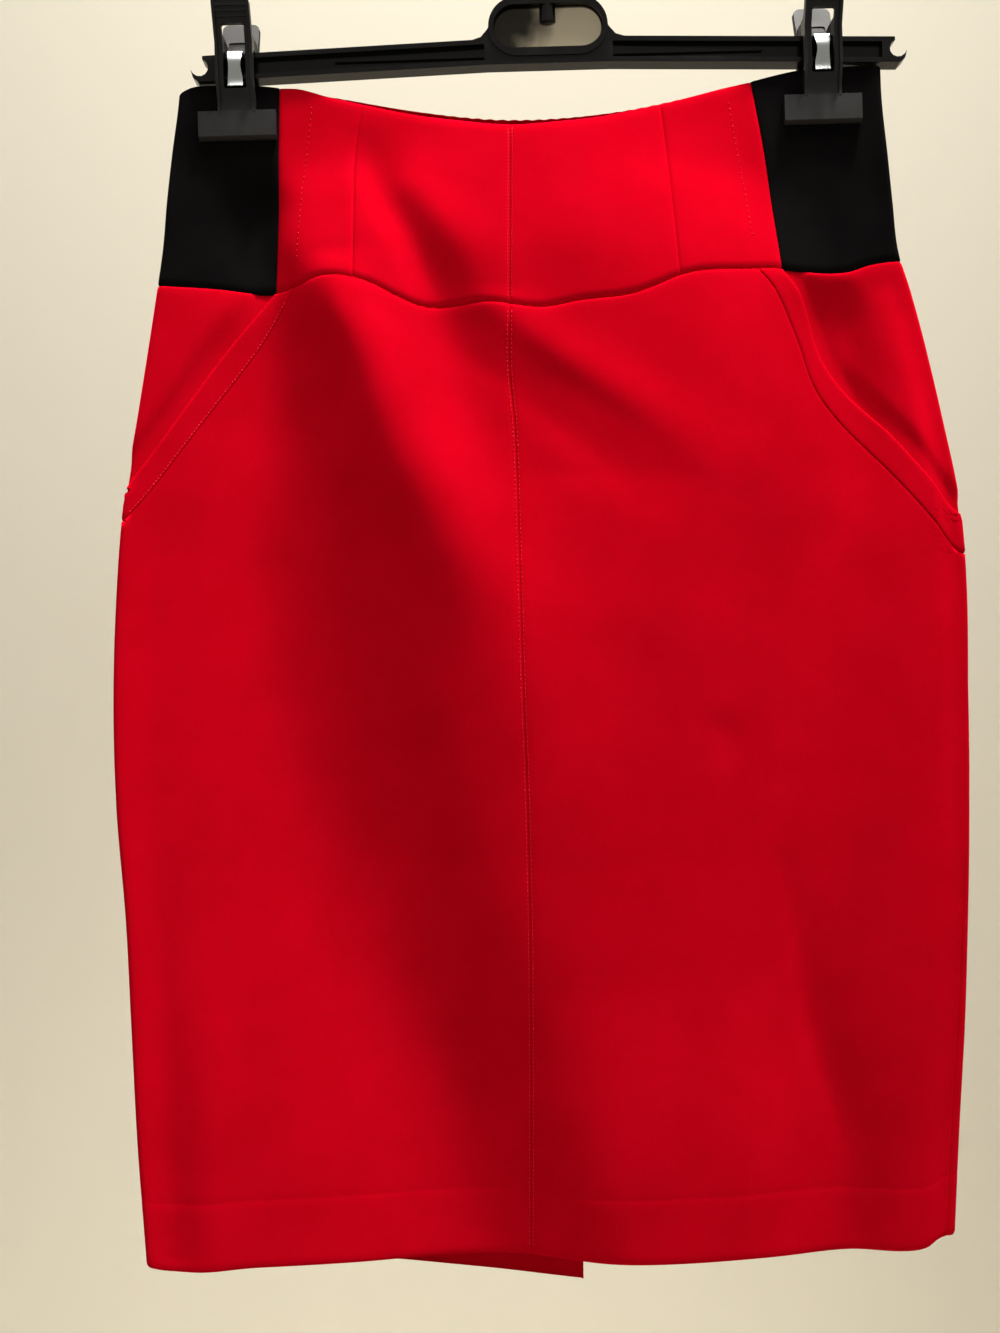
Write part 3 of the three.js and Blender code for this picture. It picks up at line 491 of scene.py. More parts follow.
def front_edge_left(z):
    return np.where(z > FOOT_LEFT - 0.3, left_mouth_line(z), side_left(z))


def front_edge_right(z):
    return np.where(z > FOOT_RIGHT - 0.3, right_mouth_line(z), side_right(z))


def beside_edge_left(z):
    return np.maximum(left_fold(z), front_edge_left(z) + 3)


def beside_edge_right(z):
    return np.minimum(right_fold(z), front_edge_right(z) - 3)


def vent_share(z):
    return smooth((VENT_SUNK - z) / (VENT_SUNK - VENT_OPEN))


def vent_edge_left(z):
    return -front_w(line_at(CENTRE_BACK, z) + VENT_LAP * vent_share(z), z)


def vent_edge_right(z):
    return 2 * half_round(z) - front_w(line_at(CENTRE_BACK, z) - 8 * vent_share(z), z)


def vent_sink(w, z):
    x = place(w, z)[0][..., 0]
    near = smooth((50 - x) / 24)
    return -UNDERLAP * near * smooth((VENT_TOP - z) / (VENT_TOP - VENT_SUNK))


def edge_height(lines, w_at, count=1):
    """Height at which each column of a panel meets an edge line."""
    z = np.full(count, lines[0][0, 1])
    for _ in range(8):
        points, side = place(w_at(z), z)
        z = np.where(side < 0, line_at(lines[0], points[..., 0]), line_at(lines[1], points[..., 0]))
    return z


# How a panel's edge lies: depth of the dip along it and how wide the dip is.
SEAM_STEPS = (0.0, 0.35, 0.8, 1.6)
EDGES = {
    "seam": (0.55, 0.8),
    "topstitched": (0.5, 0.8),
    "rolled_under": (0.95, 1.1),
    "tucked_up": (0.25, 0.8),
    "turned": (0.45, 0.8),
    "pocket_mouth": (0.3, 0.6),
    "stitched_down": (0.05, 0.6),
    "plain": (0.0, 1.0),
}


def cloth_object(name, points, across, down, material):
    """One cloth face from a grid of points, given its thickness inward."""
    m, n = across, down
    ids = np.arange(m * n).reshape(m, n)
    a, b, c, d = ids[:-1, :-1], ids[:-1, 1:], ids[1:, 1:], ids[1:, :-1]
    faces = np.stack([a, b, c, d], -1).reshape(-1, 4)
    mesh = bpy.data.meshes.new(name)
    mesh.from_pydata((points * MM).tolist(), [], faces.tolist())
    uv = mesh.uv_layers.new(name="cloth")
    return finish_cloth(name, mesh, uv, points, ids, material)


def finish_cloth(name, mesh, uv, points, ids, material):
    grid = points.reshape(*ids.shape, 3)
    along = np.linalg.norm(np.diff(grid, axis=0), axis=-1)
    down = np.linalg.norm(np.diff(grid, axis=1), axis=-1)
    u = np.vstack([np.zeros(ids.shape[1]), np.cumsum(along, 0)])
    v = np.hstack([np.zeros((ids.shape[0], 1)), -np.cumsum(down, 1)])
    flat = np.stack([u.ravel(), v.ravel()], -1) * MM
    loops = np.zeros(len(mesh.loops), int)
    mesh.loops.foreach_get("vertex_index", loops)
    uv.data.foreach_set("uv", flat[loops].ravel())
    mesh.materials.append(material)
    obj = bpy.data.objects.new(name, mesh)
    bpy.context.scene.collection.objects.link(obj)
    mesh.shade_smooth()
    solid = obj.modifiers.new("thickness", "SOLIDIFY")
    solid.thickness = CLOTH_THICK * MM
    solid.offset = -1
    solid.use_even_offset = True
    return obj


def panel(name, material, columns, top, bottom, edges, breaks=(), lift=None, hem=False, top_wave=0.0):
    """A cloth panel between side lines, a top line and a bottom line, with its edges dipped at the seams."""
    lines = [c[0] if isinstance(c, tuple) else c for c in columns]
    least = [c[1] if isinstance(c, tuple) else 1 for c in columns]
    middle = 0.5 * (edge_height(top, lines[0]) + edge_height(bottom, lines[0]))
    last = len(lines) - 2
    which, share = [], []
    for k in range(last + 1):
        wide = float(np.abs(lines[k + 1](middle) - lines[k](middle))[0])
        begin = SEAM_STEPS if k == 0 else (0.0,)
        end = SEAM_STEPS if k == last else (0.0,)
        inner = wide - begin[-1] - end[-1]
        steps = max(least[k], math.ceil(inner / STEP))
        places = [*begin[:-1], *(begin[-1] + inner * s / steps for s in range(steps))]
        if k == last:
            places += [wide - e for e in reversed(end)]
        which += [k] * len(places)
        share += [p / wide for p in places]
    which, share = np.array(which), np.array(share)
    count = len(which)

    def at(z):
        on_lines = np.array([line(z) for line in lines])
        column = np.arange(count).reshape(-1, *[1] * (z.ndim - 1))
        here = which.reshape(1, *column.shape) + 0 * z[None].astype(int)
        before = np.take_along_axis(on_lines, here, 0)[0]
        after = np.take_along_axis(on_lines, here + 1, 0)[0]
        t = share.reshape(column.shape)
        return before * (1 - t) + after * t

    high_edge, low_edge = edge_height(top, at, count), edge_height(bottom, at, count)
    stops = [(high_edge - s, 9) for s in SEAM_STEPS]
    stops += [(np.full_like(high_edge, b), STEP) for b in breaks]
    if hem:
        stops += [(low_edge + HEM_DEPTH + 2.2, STEP), (low_edge + HEM_DEPTH - 2.2, 1.1)]
    stops += [(low_edge + SEAM_STEPS[-1], STEP)] + [(low_edge + s, 9) for s in reversed(SEAM_STEPS[:-1])]
    rows = [high_edge]
    for (before, _), (after, step) in zip(stops, stops[1:]):
        steps = max(1, math.ceil(float(np.mean(before - after)) / step))
        rows += [before + (after - before) * s / steps for s in range(1, steps + 1)]
    z = np.array(rows).T
    w = at(z)
    high = np.broadcast_to(high_edge[:, None], z.shape)
    low = np.broadcast_to(low_edge[:, None], z.shape)
    out = lift(w, z) if lift else np.zeros_like(w)
    left, right = w - lines[0](z), lines[-1](z) - w
    for kind, distance in zip(edges, (left, right, high - z, z - low)):
        depth, wide = EDGES[kind]
        out = out - depth * np.exp(-((distance / wide) ** 2))
    if hem:
        out = out - 0.06 * np.exp(-(((z - low - HEM_DEPTH) / 1.6) ** 2))
        out = out + 0.04 * smooth((low + HEM_DEPTH - z) / 2)
    if top_wave:
        middle_share = 0.3 + 0.7 * smooth((75 - np.abs(place(w, z)[0][..., 0] + 5)) / 45)
        near = np.exp(-(((high - z) / 5) ** 2)) * middle_share
        out = out + top_wave * near * np.sin(w * 2 * math.pi / 6.6)
        z = z + 0.8 * top_wave * near * np.sin(w * 2 * math.pi / 6.6 + 1.1)
    points = place(w, z)[0] + outward(w, z) * out[..., None]
    obj = cloth_object(name, points.reshape(-1, 3), *w.shape, material)
    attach(obj, "root")
    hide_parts(name.removesuffix("_cloth"))
    return obj


# Materials

def node_group(name, inputs, outputs):
    group = bpy.data.node_groups.new(name, "ShaderNodeTree")
    for label, kind, value in inputs:
        socket = group.interface.new_socket(name=label, in_out="INPUT", socket_type=kind)
        socket.default_value = value
    for label, kind in outputs:
        group.interface.new_socket(name=label, in_out="OUTPUT", socket_type=kind)
    start = group.nodes.new("NodeGroupInput")
    end = group.nodes.new("NodeGroupOutput")
    return group, start, end


def math_node(nodes, links, kind, a, b):
    node = nodes.new("ShaderNodeMath")
    node.operation = kind
    for socket, value in ((node.inputs[0], a), (node.inputs[1], b)):
        if isinstance(value, (int, float)):
            socket.default_value = value
        else:
            links.new(value, socket)
    return node.outputs[0]


SURFACE = [("Height", "NodeSocketFloat"), ("Color", "NodeSocketColor"), ("Roughness", "NodeSocketFloat")]


def noise(nodes, links, coords, scale, detail, roughness=0.5):
    """Noise on the object's own measure."""
    made = nodes.new("ShaderNodeTexNoise")
    made.inputs["Scale"].default_value = scale
    made.inputs["Detail"].default_value = detail
    made.inputs["Roughness"].default_value = roughness
    links.new(coords.outputs["Object"], made.inputs["Vector"])
    return made.outputs["Fac"]


def ranged(nodes, links, value, low, high, kind="LINEAR"):
    """The value spread from low..high to 0..1."""
    ramp = nodes.new("ShaderNodeMapRange")
    ramp.interpolation_type = kind
    ramp.inputs["From Min"].default_value = low
    ramp.inputs["From Max"].default_value = high
    links.new(value, ramp.inputs["Value"])
    return ramp.outputs[0]


def mixed(nodes, links, share, first, second):
    """Two colours mixed by share."""
    mix = nodes.new("ShaderNodeMix")
    mix.data_type = "RGBA"
    links.new(share, mix.inputs["Factor"])
    links.new(first, mix.inputs[6])
    links.new(second, mix.inputs[7])
    return mix.outputs[2]


def weave_group():
    """Fine plain weave on the cloth's own measure, with slubs and soft mottling."""
    group, start, end = node_group(
        "woven_grain",
        [
            ("Threads per metre", "NodeSocketFloat", 2200.0),
            ("Slub", "NodeSocketFloat", 0.4),
            ("Dark", "NodeSocketColor", (0.4, 0.0, 0.01, 1)),
            ("Light", "NodeSocketColor", (0.6, 0.0, 0.02, 1)),
        ],
        SURFACE,
    )
    nodes, links = group.nodes, group.links
    coords = nodes.new("ShaderNodeTexCoord")
    split = nodes.new("ShaderNodeSeparateXYZ")
    links.new(coords.outputs["UV"], split.inputs[0])
    turned = []
    for axis in ("X", "Y"):
        scaled = math_node(nodes, links, "MULTIPLY", split.outputs[axis], start.outputs["Threads per metre"])
        angle = math_node(nodes, links, "MULTIPLY", scaled, math.tau)
        turned.append(math_node(nodes, links, "SINE", angle, 0.0))
    threads = math_node(nodes, links, "MULTIPLY", turned[0], turned[1])
    slubs = noise(nodes, links, coords, 900, 3)
    slub = math_node(nodes, links, "MULTIPLY", slubs, start.outputs["Slub"])
    height = math_node(nodes, links, "ADD", math_node(nodes, links, "MULTIPLY", threads, 0.3), slub)
    links.new(height, end.inputs["Height"])
    cloud = noise(nodes, links, coords, 34, 4, 0.6)
    blend = math_node(nodes, links, "ADD", math_node(nodes, links, "MULTIPLY", cloud, 0.75),
                      math_node(nodes, links, "MULTIPLY", slubs, 0.25))
    tone = ranged(nodes, links, blend, 0.3, 0.7)
    links.new(mixed(nodes, links, tone, start.outputs["Dark"], start.outputs["Light"]), end.inputs["Color"])
    rough = math_node(nodes, links, "ADD", math_node(nodes, links, "MULTIPLY", cloud, 0.16), 0.62)
    links.new(rough, end.inputs["Roughness"])
    return group


def moulded_group():
    """Moulded plastic: a fine orange skin, handling haze and paler worn edges."""
    group, start, end = node_group(
        "moulded_skin",
        [
            ("Base", "NodeSocketColor", (0.01, 0.01, 0.01, 1)),
            ("Worn", "NodeSocketColor", (0.05, 0.05, 0.05, 1)),
            ("Smoothness", "NodeSocketFloat", 0.3),
        ],
        SURFACE,
    )
    nodes, links = group.nodes, group.links
    coords = nodes.new("ShaderNodeTexCoord")
    links.new(noise(nodes, links, coords, 1400, 2), end.inputs["Height"])
    haze = noise(nodes, links, coords, 90, 5)
    spread = math_node(nodes, links, "MULTIPLY", haze, 0.22)
    links.new(math_node(nodes, links, "ADD", spread, start.outputs["Smoothness"]), end.inputs["Roughness"])
    geometry = nodes.new("ShaderNodeNewGeometry")
    edge = ranged(nodes, links, geometry.outputs["Pointiness"], 0.53, 0.62)
    worn = math_node(nodes, links, "MULTIPLY", edge, haze)
    links.new(mixed(nodes, links, worn, start.outputs["Base"], start.outputs["Worn"]), end.inputs["Color"])
    return group


def plate_group():
    """Polished plate with a painted reflection: darker at the left and top, brighter to the right and lower
    down, clouded by noise, with fine rubbing.
    """
    group, start, end = node_group(
        "plate_painted_reflection",
        [
            ("Painted reflection dim", "NodeSocketColor", (0.04, 0.03, 0.02, 1)),
            ("Bright", "NodeSocketColor", (0.5, 0.4, 0.3, 1)),
        ],
        SURFACE,
    )
    nodes, links = group.nodes, group.links
    coords = nodes.new("ShaderNodeTexCoord")
    place_on = nodes.new("ShaderNodeMapping")
    place_on.inputs["Location"].default_value = (0.004, 0, 0.081)
    links.new(coords.outputs["Object"], place_on.inputs["Vector"])
    split = nodes.new("ShaderNodeSeparateXYZ")
    links.new(place_on.outputs[0], split.inputs[0])
    # Painted reflection: a slant across and down the plate, broken by noise, sets how far each point goes
    # from the dim colour to the bright one.
    cloud = noise(nodes, links, coords, 60, 3)
    across = math_node(nodes, links, "MULTIPLY", split.outputs["X"], 26.0)
    downward = math_node(nodes, links, "MULTIPLY", split.outputs["Z"], -14.0)
    reflection_slant = math_node(nodes, links, "ADD", across, downward)
    wave = math_node(nodes, links, "ADD", reflection_slant, cloud)
    tone = ranged(nodes, links, wave, 0.25, 0.95, "SMOOTHSTEP")
    links.new(mixed(nodes, links, tone, start.outputs["Painted reflection dim"], start.outputs["Bright"]), end.inputs["Color"])
    rubbing = noise(nodes, links, coords, 700, 4)
    links.new(rubbing, end.inputs["Height"])
    rough = math_node(nodes, links, "ADD", math_node(nodes, links, "MULTIPLY", rubbing, 0.15), 0.06)
    links.new(rough, end.inputs["Roughness"])
    return group


def material_from(name, group, values, bump, settings):
    made = bpy.data.materials.new(name)
    made.use_nodes = True
    nodes, links = made.node_tree.nodes, made.node_tree.links
    shader = nodes["Principled BSDF"]
    effect = nodes.new("ShaderNodeGroup")
    effect.node_tree = group
    for label, value in values.items():
        effect.inputs[label].default_value = value
    links.new(effect.outputs["Color"], shader.inputs["Base Color"])
    links.new(effect.outputs["Roughness"], shader.inputs["Roughness"])
    relief = nodes.new("ShaderNodeBump")
    relief.inputs["Strength"].default_value = bump[0]
    relief.inputs["Distance"].default_value = bump[1]
    links.new(effect.outputs["Height"], relief.inputs["Height"])
    links.new(relief.outputs["Normal"], shader.inputs["Normal"])
    for label, value in settings.items():
        shader.inputs[label].default_value = value
    return made


weave = weave_group()
moulded = moulded_group()
red_cloth = material_from(
    "red_suiting", weave,
    {"Dark": (0.50, 0.0006, 0.008, 1), "Light": (0.58, 0.0008, 0.011, 1), "Slub": 0.5},
    (0.25, 0.0001),
    {"Sheen Weight": 0.1, "Sheen Roughness": 0.5, "Sheen Tint": (1, 0.0, 0.03, 1), "Specular IOR Level": 0.0},
)
elastic_cloth = material_from(
    "black_elastic_knit", weave,
    {"Dark": (0.0036, 0.0032, 0.0034, 1), "Light": (0.0064, 0.0056, 0.0057, 1), "Slub": 0.7,
     "Threads per metre": 1300.0},
    (0.3, 0.00012),
    {"Sheen Weight": 0.01, "Sheen Roughness": 0.4, "Specular IOR Level": 0.0},
)
thread_red = material_from(
    "red_thread", weave,
    {"Dark": (0.66, 0.004, 0.018, 1), "Light": (0.8, 0.012, 0.03, 1)},
    (0.2, 0.0001),
    {"Sheen Weight": 0.1, "Sheen Tint": (1, 0.1, 0.12, 1), "Specular IOR Level": 0.12},
)
clip_plastic = material_from(
    "clip_plastic", moulded,
    {"Base": (0.0066, 0.0066, 0.0062, 1), "Worn": (0.016, 0.016, 0.015, 1), "Smoothness": 0.34},
    (0.2, 0.00005),
    {"Specular IOR Level": 0.34},
)
# A darker, browner and duller copy of the clip plastic: painted shade for the back halves and their bridges,
# which lie behind the front halves.
back_clip_plastic_painted_shade = material_from(
    "back_clip_plastic_painted_shade", moulded,
    {"Base": (0.0055, 0.0044, 0.0036, 1), "Worn": (0.012, 0.01, 0.008, 1), "Smoothness": 0.4},
    (0.1, 0.00004),
    {"Specular IOR Level": 0.1},
)
bar_plastic = material_from(
    "bar_plastic", moulded,
    {"Base": (0.0028, 0.0026, 0.0025, 1), "Worn": (0.007, 0.007, 0.0066, 1), "Smoothness": 0.08},
    (0.12, 0.00004),
    {"Specular IOR Level": 0.26},
)
# Glossy metal plate whose colour is a painted reflection, from a dim brown to a bright beige.
plate_gloss = material_from(
    "centre_plate_gloss_painted_reflection", plate_group(),
    {"Painted reflection dim": (0.035, 0.031, 0.025, 1), "Bright": (0.62, 0.54, 0.38, 1)},
    (0.05, 0.00004),
    {"Metallic": 0.85, "Specular IOR Level": 0.6},
)
spring_steel = material_from(
    "spring_steel", moulded,
    {"Base": (0.55, 0.58, 0.57, 1), "Worn": (0.75, 0.77, 0.76, 1), "Smoothness": 0.16},
    (0.15, 0.00005),
    {"Metallic": 1.0},
)

# Skirt panels

TOPS = (TOP_FRONT, TOP_BACK)
SEAMS = (SEAM_FRONT, SEAM_BACK)
HEMS = (HEM_FRONT, HEM_BACK)
HEMS_RIGHT = (HEM_FRONT, HEM_BACK_RIGHT)
princess_left, princess_right = on_front(PRINCESS_LEFT), on_front(PRINCESS_RIGHT)


def level_line(height):
    rows = table([[-260, height], [260, height]])
    return (rows, rows)


panel(
    "yoke_side_left_cloth", red_cloth, [elastic_left, princess_left], TOPS, SEAMS,
    ("seam", "seam", "turned", "rolled_under"))
panel(
    "yoke_centre_left_cloth", red_cloth, [princess_left, centre_front], TOPS, SEAMS,
    ("seam", "topstitched", "turned", "rolled_under"))
panel(
    "yoke_centre_right_cloth", red_cloth, [centre_front, princess_right], TOPS, SEAMS,
    ("topstitched", "seam", "turned", "rolled_under"))
panel(
    "yoke_side_right_cloth", red_cloth, [princess_right, elastic_right], TOPS, SEAMS,
    ("seam", "seam", "turned", "rolled_under"))
panel(
    "elastic_left_cloth", elastic_cloth,
    [back_seam_left, (left_fold_back, 8), left_fold, elastic_left], TOPS, SEAMS,
    ("seam", "seam", "plain", "rolled_under"))
panel(
    "elastic_right_cloth", elastic_cloth,
    [elastic_right, (right_fold, 8), right_fold_back, back_seam_right], TOPS, SEAMS,
    ("seam", "seam", "plain", "rolled_under"))
panel(
    "back_yoke_cloth", red_cloth,
    [lambda z: back_seam_right(z) - 2 * half_round(z), back_seam_left], TOPS, SEAMS,
    ("seam", "seam", "turned", "rolled_under"), top_wave=0.8)
panel(
    "front_left_cloth", red_cloth, [(front_edge_left, 5), beside_edge_left, centre_front], SEAMS, HEMS,
    ("stitched_down", "topstitched", "tucked_up", "turned"),
    breaks=(TURN_LEFT, FOOT_LEFT, FOOT_LEFT - 0.6), hem=True)
panel(
    "front_right_cloth", red_cloth, [centre_front, (beside_edge_right, 5), front_edge_right], SEAMS,
    HEMS_RIGHT,
    ("topstitched", "pocket_mouth", "tucked_up", "turned"),
    breaks=(TURN_RIGHT, FOOT_RIGHT, FOOT_RIGHT - 0.6), hem=True)
panel(
    "pocket_band_left_cloth", red_cloth, [(left_mouth, 5), left_mouth_line], SEAMS, level_line(FOOT_LEFT),
    ("pocket_mouth", "stitched_down", "tucked_up", "seam"), breaks=(TURN_LEFT,),
    lift=lambda w, z: np.full_like(w, 0.1))
panel(
    "pocket_band_right_cloth", red_cloth, [(right_mouth_line, 5), right_mouth], SEAMS, level_line(FOOT_RIGHT),
    ("pocket_mouth", "pocket_mouth", "tucked_up", "seam"), breaks=(TURN_RIGHT,),
    lift=lambda w, z: np.full_like(w, BAND_LIFT))
panel(
    "hip_side_left_cloth", red_cloth, [(side_left, 4), left_fold, left_mouth_line], SEAMS, level_line(-341),
    ("seam", "plain", "tucked_up", "plain"), breaks=(TURN_LEFT,), lift=sink_left)
panel(
    "hip_side_right_cloth", red_cloth, [right_mouth_line, (right_fold, 4), side_right], SEAMS,
    level_line(-352),
    ("plain", "seam", "tucked_up", "plain"), breaks=(TURN_RIGHT,), lift=sink_right)
panel(
    "back_left_cloth", red_cloth, [vent_edge_left, side_left], SEAMS, HEMS,
    ("seam", "seam", "tucked_up", "turned"), breaks=(VENT_TOP, VENT_SUNK, VENT_OPEN), hem=True)
panel(
    "back_right_cloth", red_cloth, [(side_right, 5), right_fold_back, vent_edge_right], SEAMS, HEMS_RIGHT,
    ("seam", "seam", "tucked_up", "turned"), breaks=(VENT_TOP, VENT_SUNK, VENT_OPEN), lift=vent_sink,
    hem=True)

# Modelling helpers

def deselect_all():
    bpy.ops.object.select_all(action="DESELECT")


def pick(obj, kind, wanted):
    """Selects faces or edges of the piece in edit mode by where they are."""
    bpy.ops.mesh.select_mode(type=kind)
    bpy.ops.mesh.select_all(action="DESELECT")
    mesh = bmesh.from_edit_mesh(obj.data)
    for part in mesh.faces if kind == "FACE" else mesh.edges:
        if wanted(part):
            part.select_set(True)
    bmesh.update_edit_mesh(obj.data)


def settle(obj, tilt=0.0):
    """Leaves the piece at the origin, with its place and turn in its mesh."""
    if bpy.context.mode != "OBJECT":
        bpy.ops.object.mode_set(mode="OBJECT")
    deselect_all()
    obj.select_set(True)
    bpy.context.view_layer.objects.active = obj
    bpy.ops.object.transform_apply(location=True, rotation=True, scale=True)
    if tilt:
        obj.rotation_euler = (0, -tilt, 0)
        bpy.ops.object.transform_apply(location=True, rotation=True, scale=True)


def apply_modifier(obj, kind, **settings):
    step = obj.modifiers.new(kind.lower(), kind)
    for label, value in settings.items():
        setattr(step, label, value)
    bpy.ops.object.modifier_apply(modifier=step.name)


def fit(obj, name, material, smooth_angle, node=None):
    """Names and dresses a finished piece and puts it on the hanger."""
    obj.name = obj.data.name = name
    obj.data.materials.clear()
    obj.data.materials.append(material)
    bpy.ops.object.shade_smooth_by_angle(angle=math.radians(smooth_angle))
    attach(obj, "root")
    if node:
        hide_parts(node)
    return obj


# Stitches

def one_stitch():
    """One stitch of unit length along Z: a short strand, flattened, with its ends drawn in."""
    deselect_all()
    bpy.ops.mesh.primitive_cylinder_add(vertices=6, radius=0.5, depth=0.6)
    obj = bpy.context.object
    bpy.ops.object.mode_set(mode="EDIT")
    for end in (1, -1):
        pick(obj, "FACE", lambda face: face.normal.z * end > 0.9)
        bpy.ops.mesh.extrude_region_move(TRANSFORM_OT_translate={"value": (0, 0, 0.2 * end)})
        bpy.ops.transform.resize(value=(0.4, 0.4, 1), center_override=(0, 0, 0.5 * end))
    bpy.ops.mesh.select_all(action="SELECT")
    bpy.ops.transform.resize(value=(1, 0.7, 1), center_override=(0, 0, 0))
    bpy.ops.object.mode_set(mode="OBJECT")
    corners = np.array([v.co[:] for v in obj.data.vertices])
    faces = [tuple(p.vertices) for p in obj.data.polygons]
    bpy.data.objects.remove(obj)
    return corners, faces


STITCH_CORNERS, STITCH_FACES = one_stitch()


def stitch_row(name, line, high, low, pitch, length, thick, sunk):
    """Copies of the stitch at an even pitch along a line down the skirt."""
    z = np.arange(high, low, -0.25)
    on = place(line(z), z)[0] + outward(line(z), z) * sunk
    run = np.concatenate([[0], np.cumsum(np.linalg.norm(np.diff(on, axis=0), axis=1))])
    middles = np.arange(pitch, run[-1] - pitch, pitch)
    heights = np.interp(middles, run, z)
    outs = outward(line(heights), heights)
    verts, faces = [], []
    for count, (middle, out) in enumerate(zip(middles, outs)):
        at = [
            np.array([np.interp(middle + share * length, run, on[:, c]) for c in range(3)])
            for share in (-0.5, 0, 0.5)
        ]
        along = (at[0] - at[2]) / np.linalg.norm(at[0] - at[2])
        across = np.cross(out, along)
        turn = 0.12 * math.sin(count * 2.4)
        wide = thick * (1 + 0.12 * math.sin(count * 1.7))
        base = len(verts)
        for x, y, up in STITCH_CORNERS:
            rise = up * length
            verts.append(at[1] + across * (x * wide + turn * rise) + out * (y * wide) + along * rise)
        faces += [tuple(base + i for i in face) for face in STITCH_FACES]
    mesh = bpy.data.meshes.new(name)
    mesh.from_pydata((np.array(verts) * MM).tolist(), [], faces)
    mesh.uv_layers.new(name="cloth")
    check = bmesh.new()
    check.from_mesh(mesh)
    bmesh.ops.recalc_face_normals(check, faces=check.faces)
    check.to_mesh(mesh)
    check.free()
    mesh.materials.append(thread_red)
    mesh.shade_smooth()
    obj = bpy.data.objects.new(name, mesh)
    bpy.context.scene.collection.objects.link(obj)
    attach(obj, "root")


def beside(line, offset):
    return lambda z: line(z) + offset


for side_name, way in (("left", -1), ("right", 1)):
    row = beside(centre_front, way * 1.1)
    stitch_row("stitches_yoke_centre_" + side_name, row, -141.5, -236, 1.9, 0.95, 0.42, 0.04)
    stitch_row("stitches_front_centre_" + side_name, row, -239, -738, 2.3, 1.2, 0.42, 0.04)
stitch_row("stitches_yoke_left", on_front(YOKE_STITCH_LEFT), -121, -212, 3.2, 0.8, 0.6, 0.06)
stitch_row("stitches_pocket_left", beside(left_mouth_line, -1.1), -229, -344, 2.1, 1.1, 0.6, 0.04)
stitch_row("stitches_yoke_right", on_front(YOKE_STITCH_RIGHT), -119, -200, 3.2, 0.8, 0.6, 0.06)

# Hanger pieces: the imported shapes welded, their edges rounded.

def rounded_copy(node, name, material, bevel):
    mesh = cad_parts[node].data.copy()
    work = bmesh.new()
    work.from_mesh(mesh)
    bmesh.ops.remove_doubles(work, verts=work.verts, dist=2e-6)
    bmesh.ops.dissolve_limit(work, angle_limit=math.radians(1.5), verts=work.verts, edges=work.edges)
    work.to_mesh(mesh)
    work.free()
    obj = bpy.data.objects.new(name, mesh)
    bpy.context.scene.collection.objects.link(obj)
    deselect_all()
    obj.select_set(True)
    bpy.context.view_layer.objects.active = obj
    apply_modifier(obj, "BEVEL", width=bevel * MM, segments=2, limit_method="ANGLE",
                   angle_limit=math.radians(40), use_clamp_overlap=True)
    fit(obj, name, material, 32, node)
    apply_modifier(obj, "WEIGHTED_NORMAL", keep_sharp=True, weight=60)


rounded_copy("hanger_bar", "hanger_bar_moulding", bar_plastic, 0.35)
for side_name in ("left", "right"):
    for half, plastic in (("front", clip_plastic), ("back", back_clip_plastic_painted_shade)):
        node = "clip_" + side_name + "_" + half
        rounded_copy(node, node + "_moulding", plastic, 0.3)


def back_bridge(name, middle):
    """A web that closes the top of the back lever's window, leaning with the lever."""
    high, low = -78.6, -88.2
    lean = 7.1 / 20.4  # the lever goes back 7.1 mm over the 20.4 mm of its height
    deselect_all()
    bpy.ops.mesh.primitive_cube_add(size=1, location=(middle * MM, 6.5 * MM, (high + low) / 2 * MM),
                                    scale=(12.2 * MM, 1.8 * MM, (high - low) * MM))
    obj = bpy.context.object
    settle(obj)
    bpy.ops.object.mode_set(mode="EDIT")
    pick(obj, "FACE", lambda face: face.normal.z > 0.9)
    bpy.ops.transform.translate(value=(0, (high - low) * lean * MM, 0))
    pick(obj, "EDGE", lambda edge: all(v.co.z < low * MM + 1e-5 for v in edge.verts)
         and abs(edge.verts[0].co.x - edge.verts[1].co.x) > 1e-3)
    bpy.ops.mesh.bevel(offset=0.5 * MM, segments=3, affect="EDGES")
    settle(obj, TILT)
    fit(obj, name, back_clip_plastic_painted_shade, 32)


back_bridge("clip_left_back_bridge", -168)
back_bridge("clip_right_back_bridge", 146.2)


def hook_wire():
    """A disc pulled up the shank, round two opposite bends and over the crown, its ends rounded."""
    bend, turn = 21.62, math.radians(61.5)
    crown = HOOK_RADIUS + WIRE / 2
    deselect_all()
    bpy.ops.mesh.primitive_circle_add(
        vertices=16, radius=WIRE / 2 * MM, fill_type="NGON", location=(0, 0, HOOK_FOOT * MM))
    obj = bpy.context.object
    settle(obj)
    bpy.ops.object.mode_set(mode="EDIT")
    bpy.ops.mesh.select_all(action="SELECT")
    bpy.ops.mesh.extrude_region_move(TRANSFORM_OT_translate={"value": (0, 0, (SHANK_TOP - HOOK_FOOT) * MM)})
    for steps, angle, x, z, way in (
        (12, turn, bend, SHANK_TOP, -1),
        (12, turn, crown - bend, -HOOK_RADIUS, 1),
        (56, math.radians(205), 0, -HOOK_RADIUS, 1),
    ):
        bpy.ops.mesh.spin(steps=steps, angle=angle, center=(x * MM, 0, z * MM), axis=(0, way, 0))
    bpy.ops.mesh.bevel(offset=1.7 * MM, segments=4, affect="EDGES")
    pick(obj, "FACE", lambda face: face.normal.z < -0.9 and len(face.verts) == 16)
    bpy.ops.mesh.bevel(offset=2.0 * MM, segments=4, affect="EDGES")
    bpy.ops.mesh.select_all(action="SELECT")
    bpy.ops.mesh.remove_doubles(threshold=2e-6)
    bpy.ops.mesh.normals_make_consistent(inside=False)
    settle(obj, TILT)
    fit(obj, "hanger_hook_wire", bar_plastic, 50, "hanger_hook")


hook_wire()


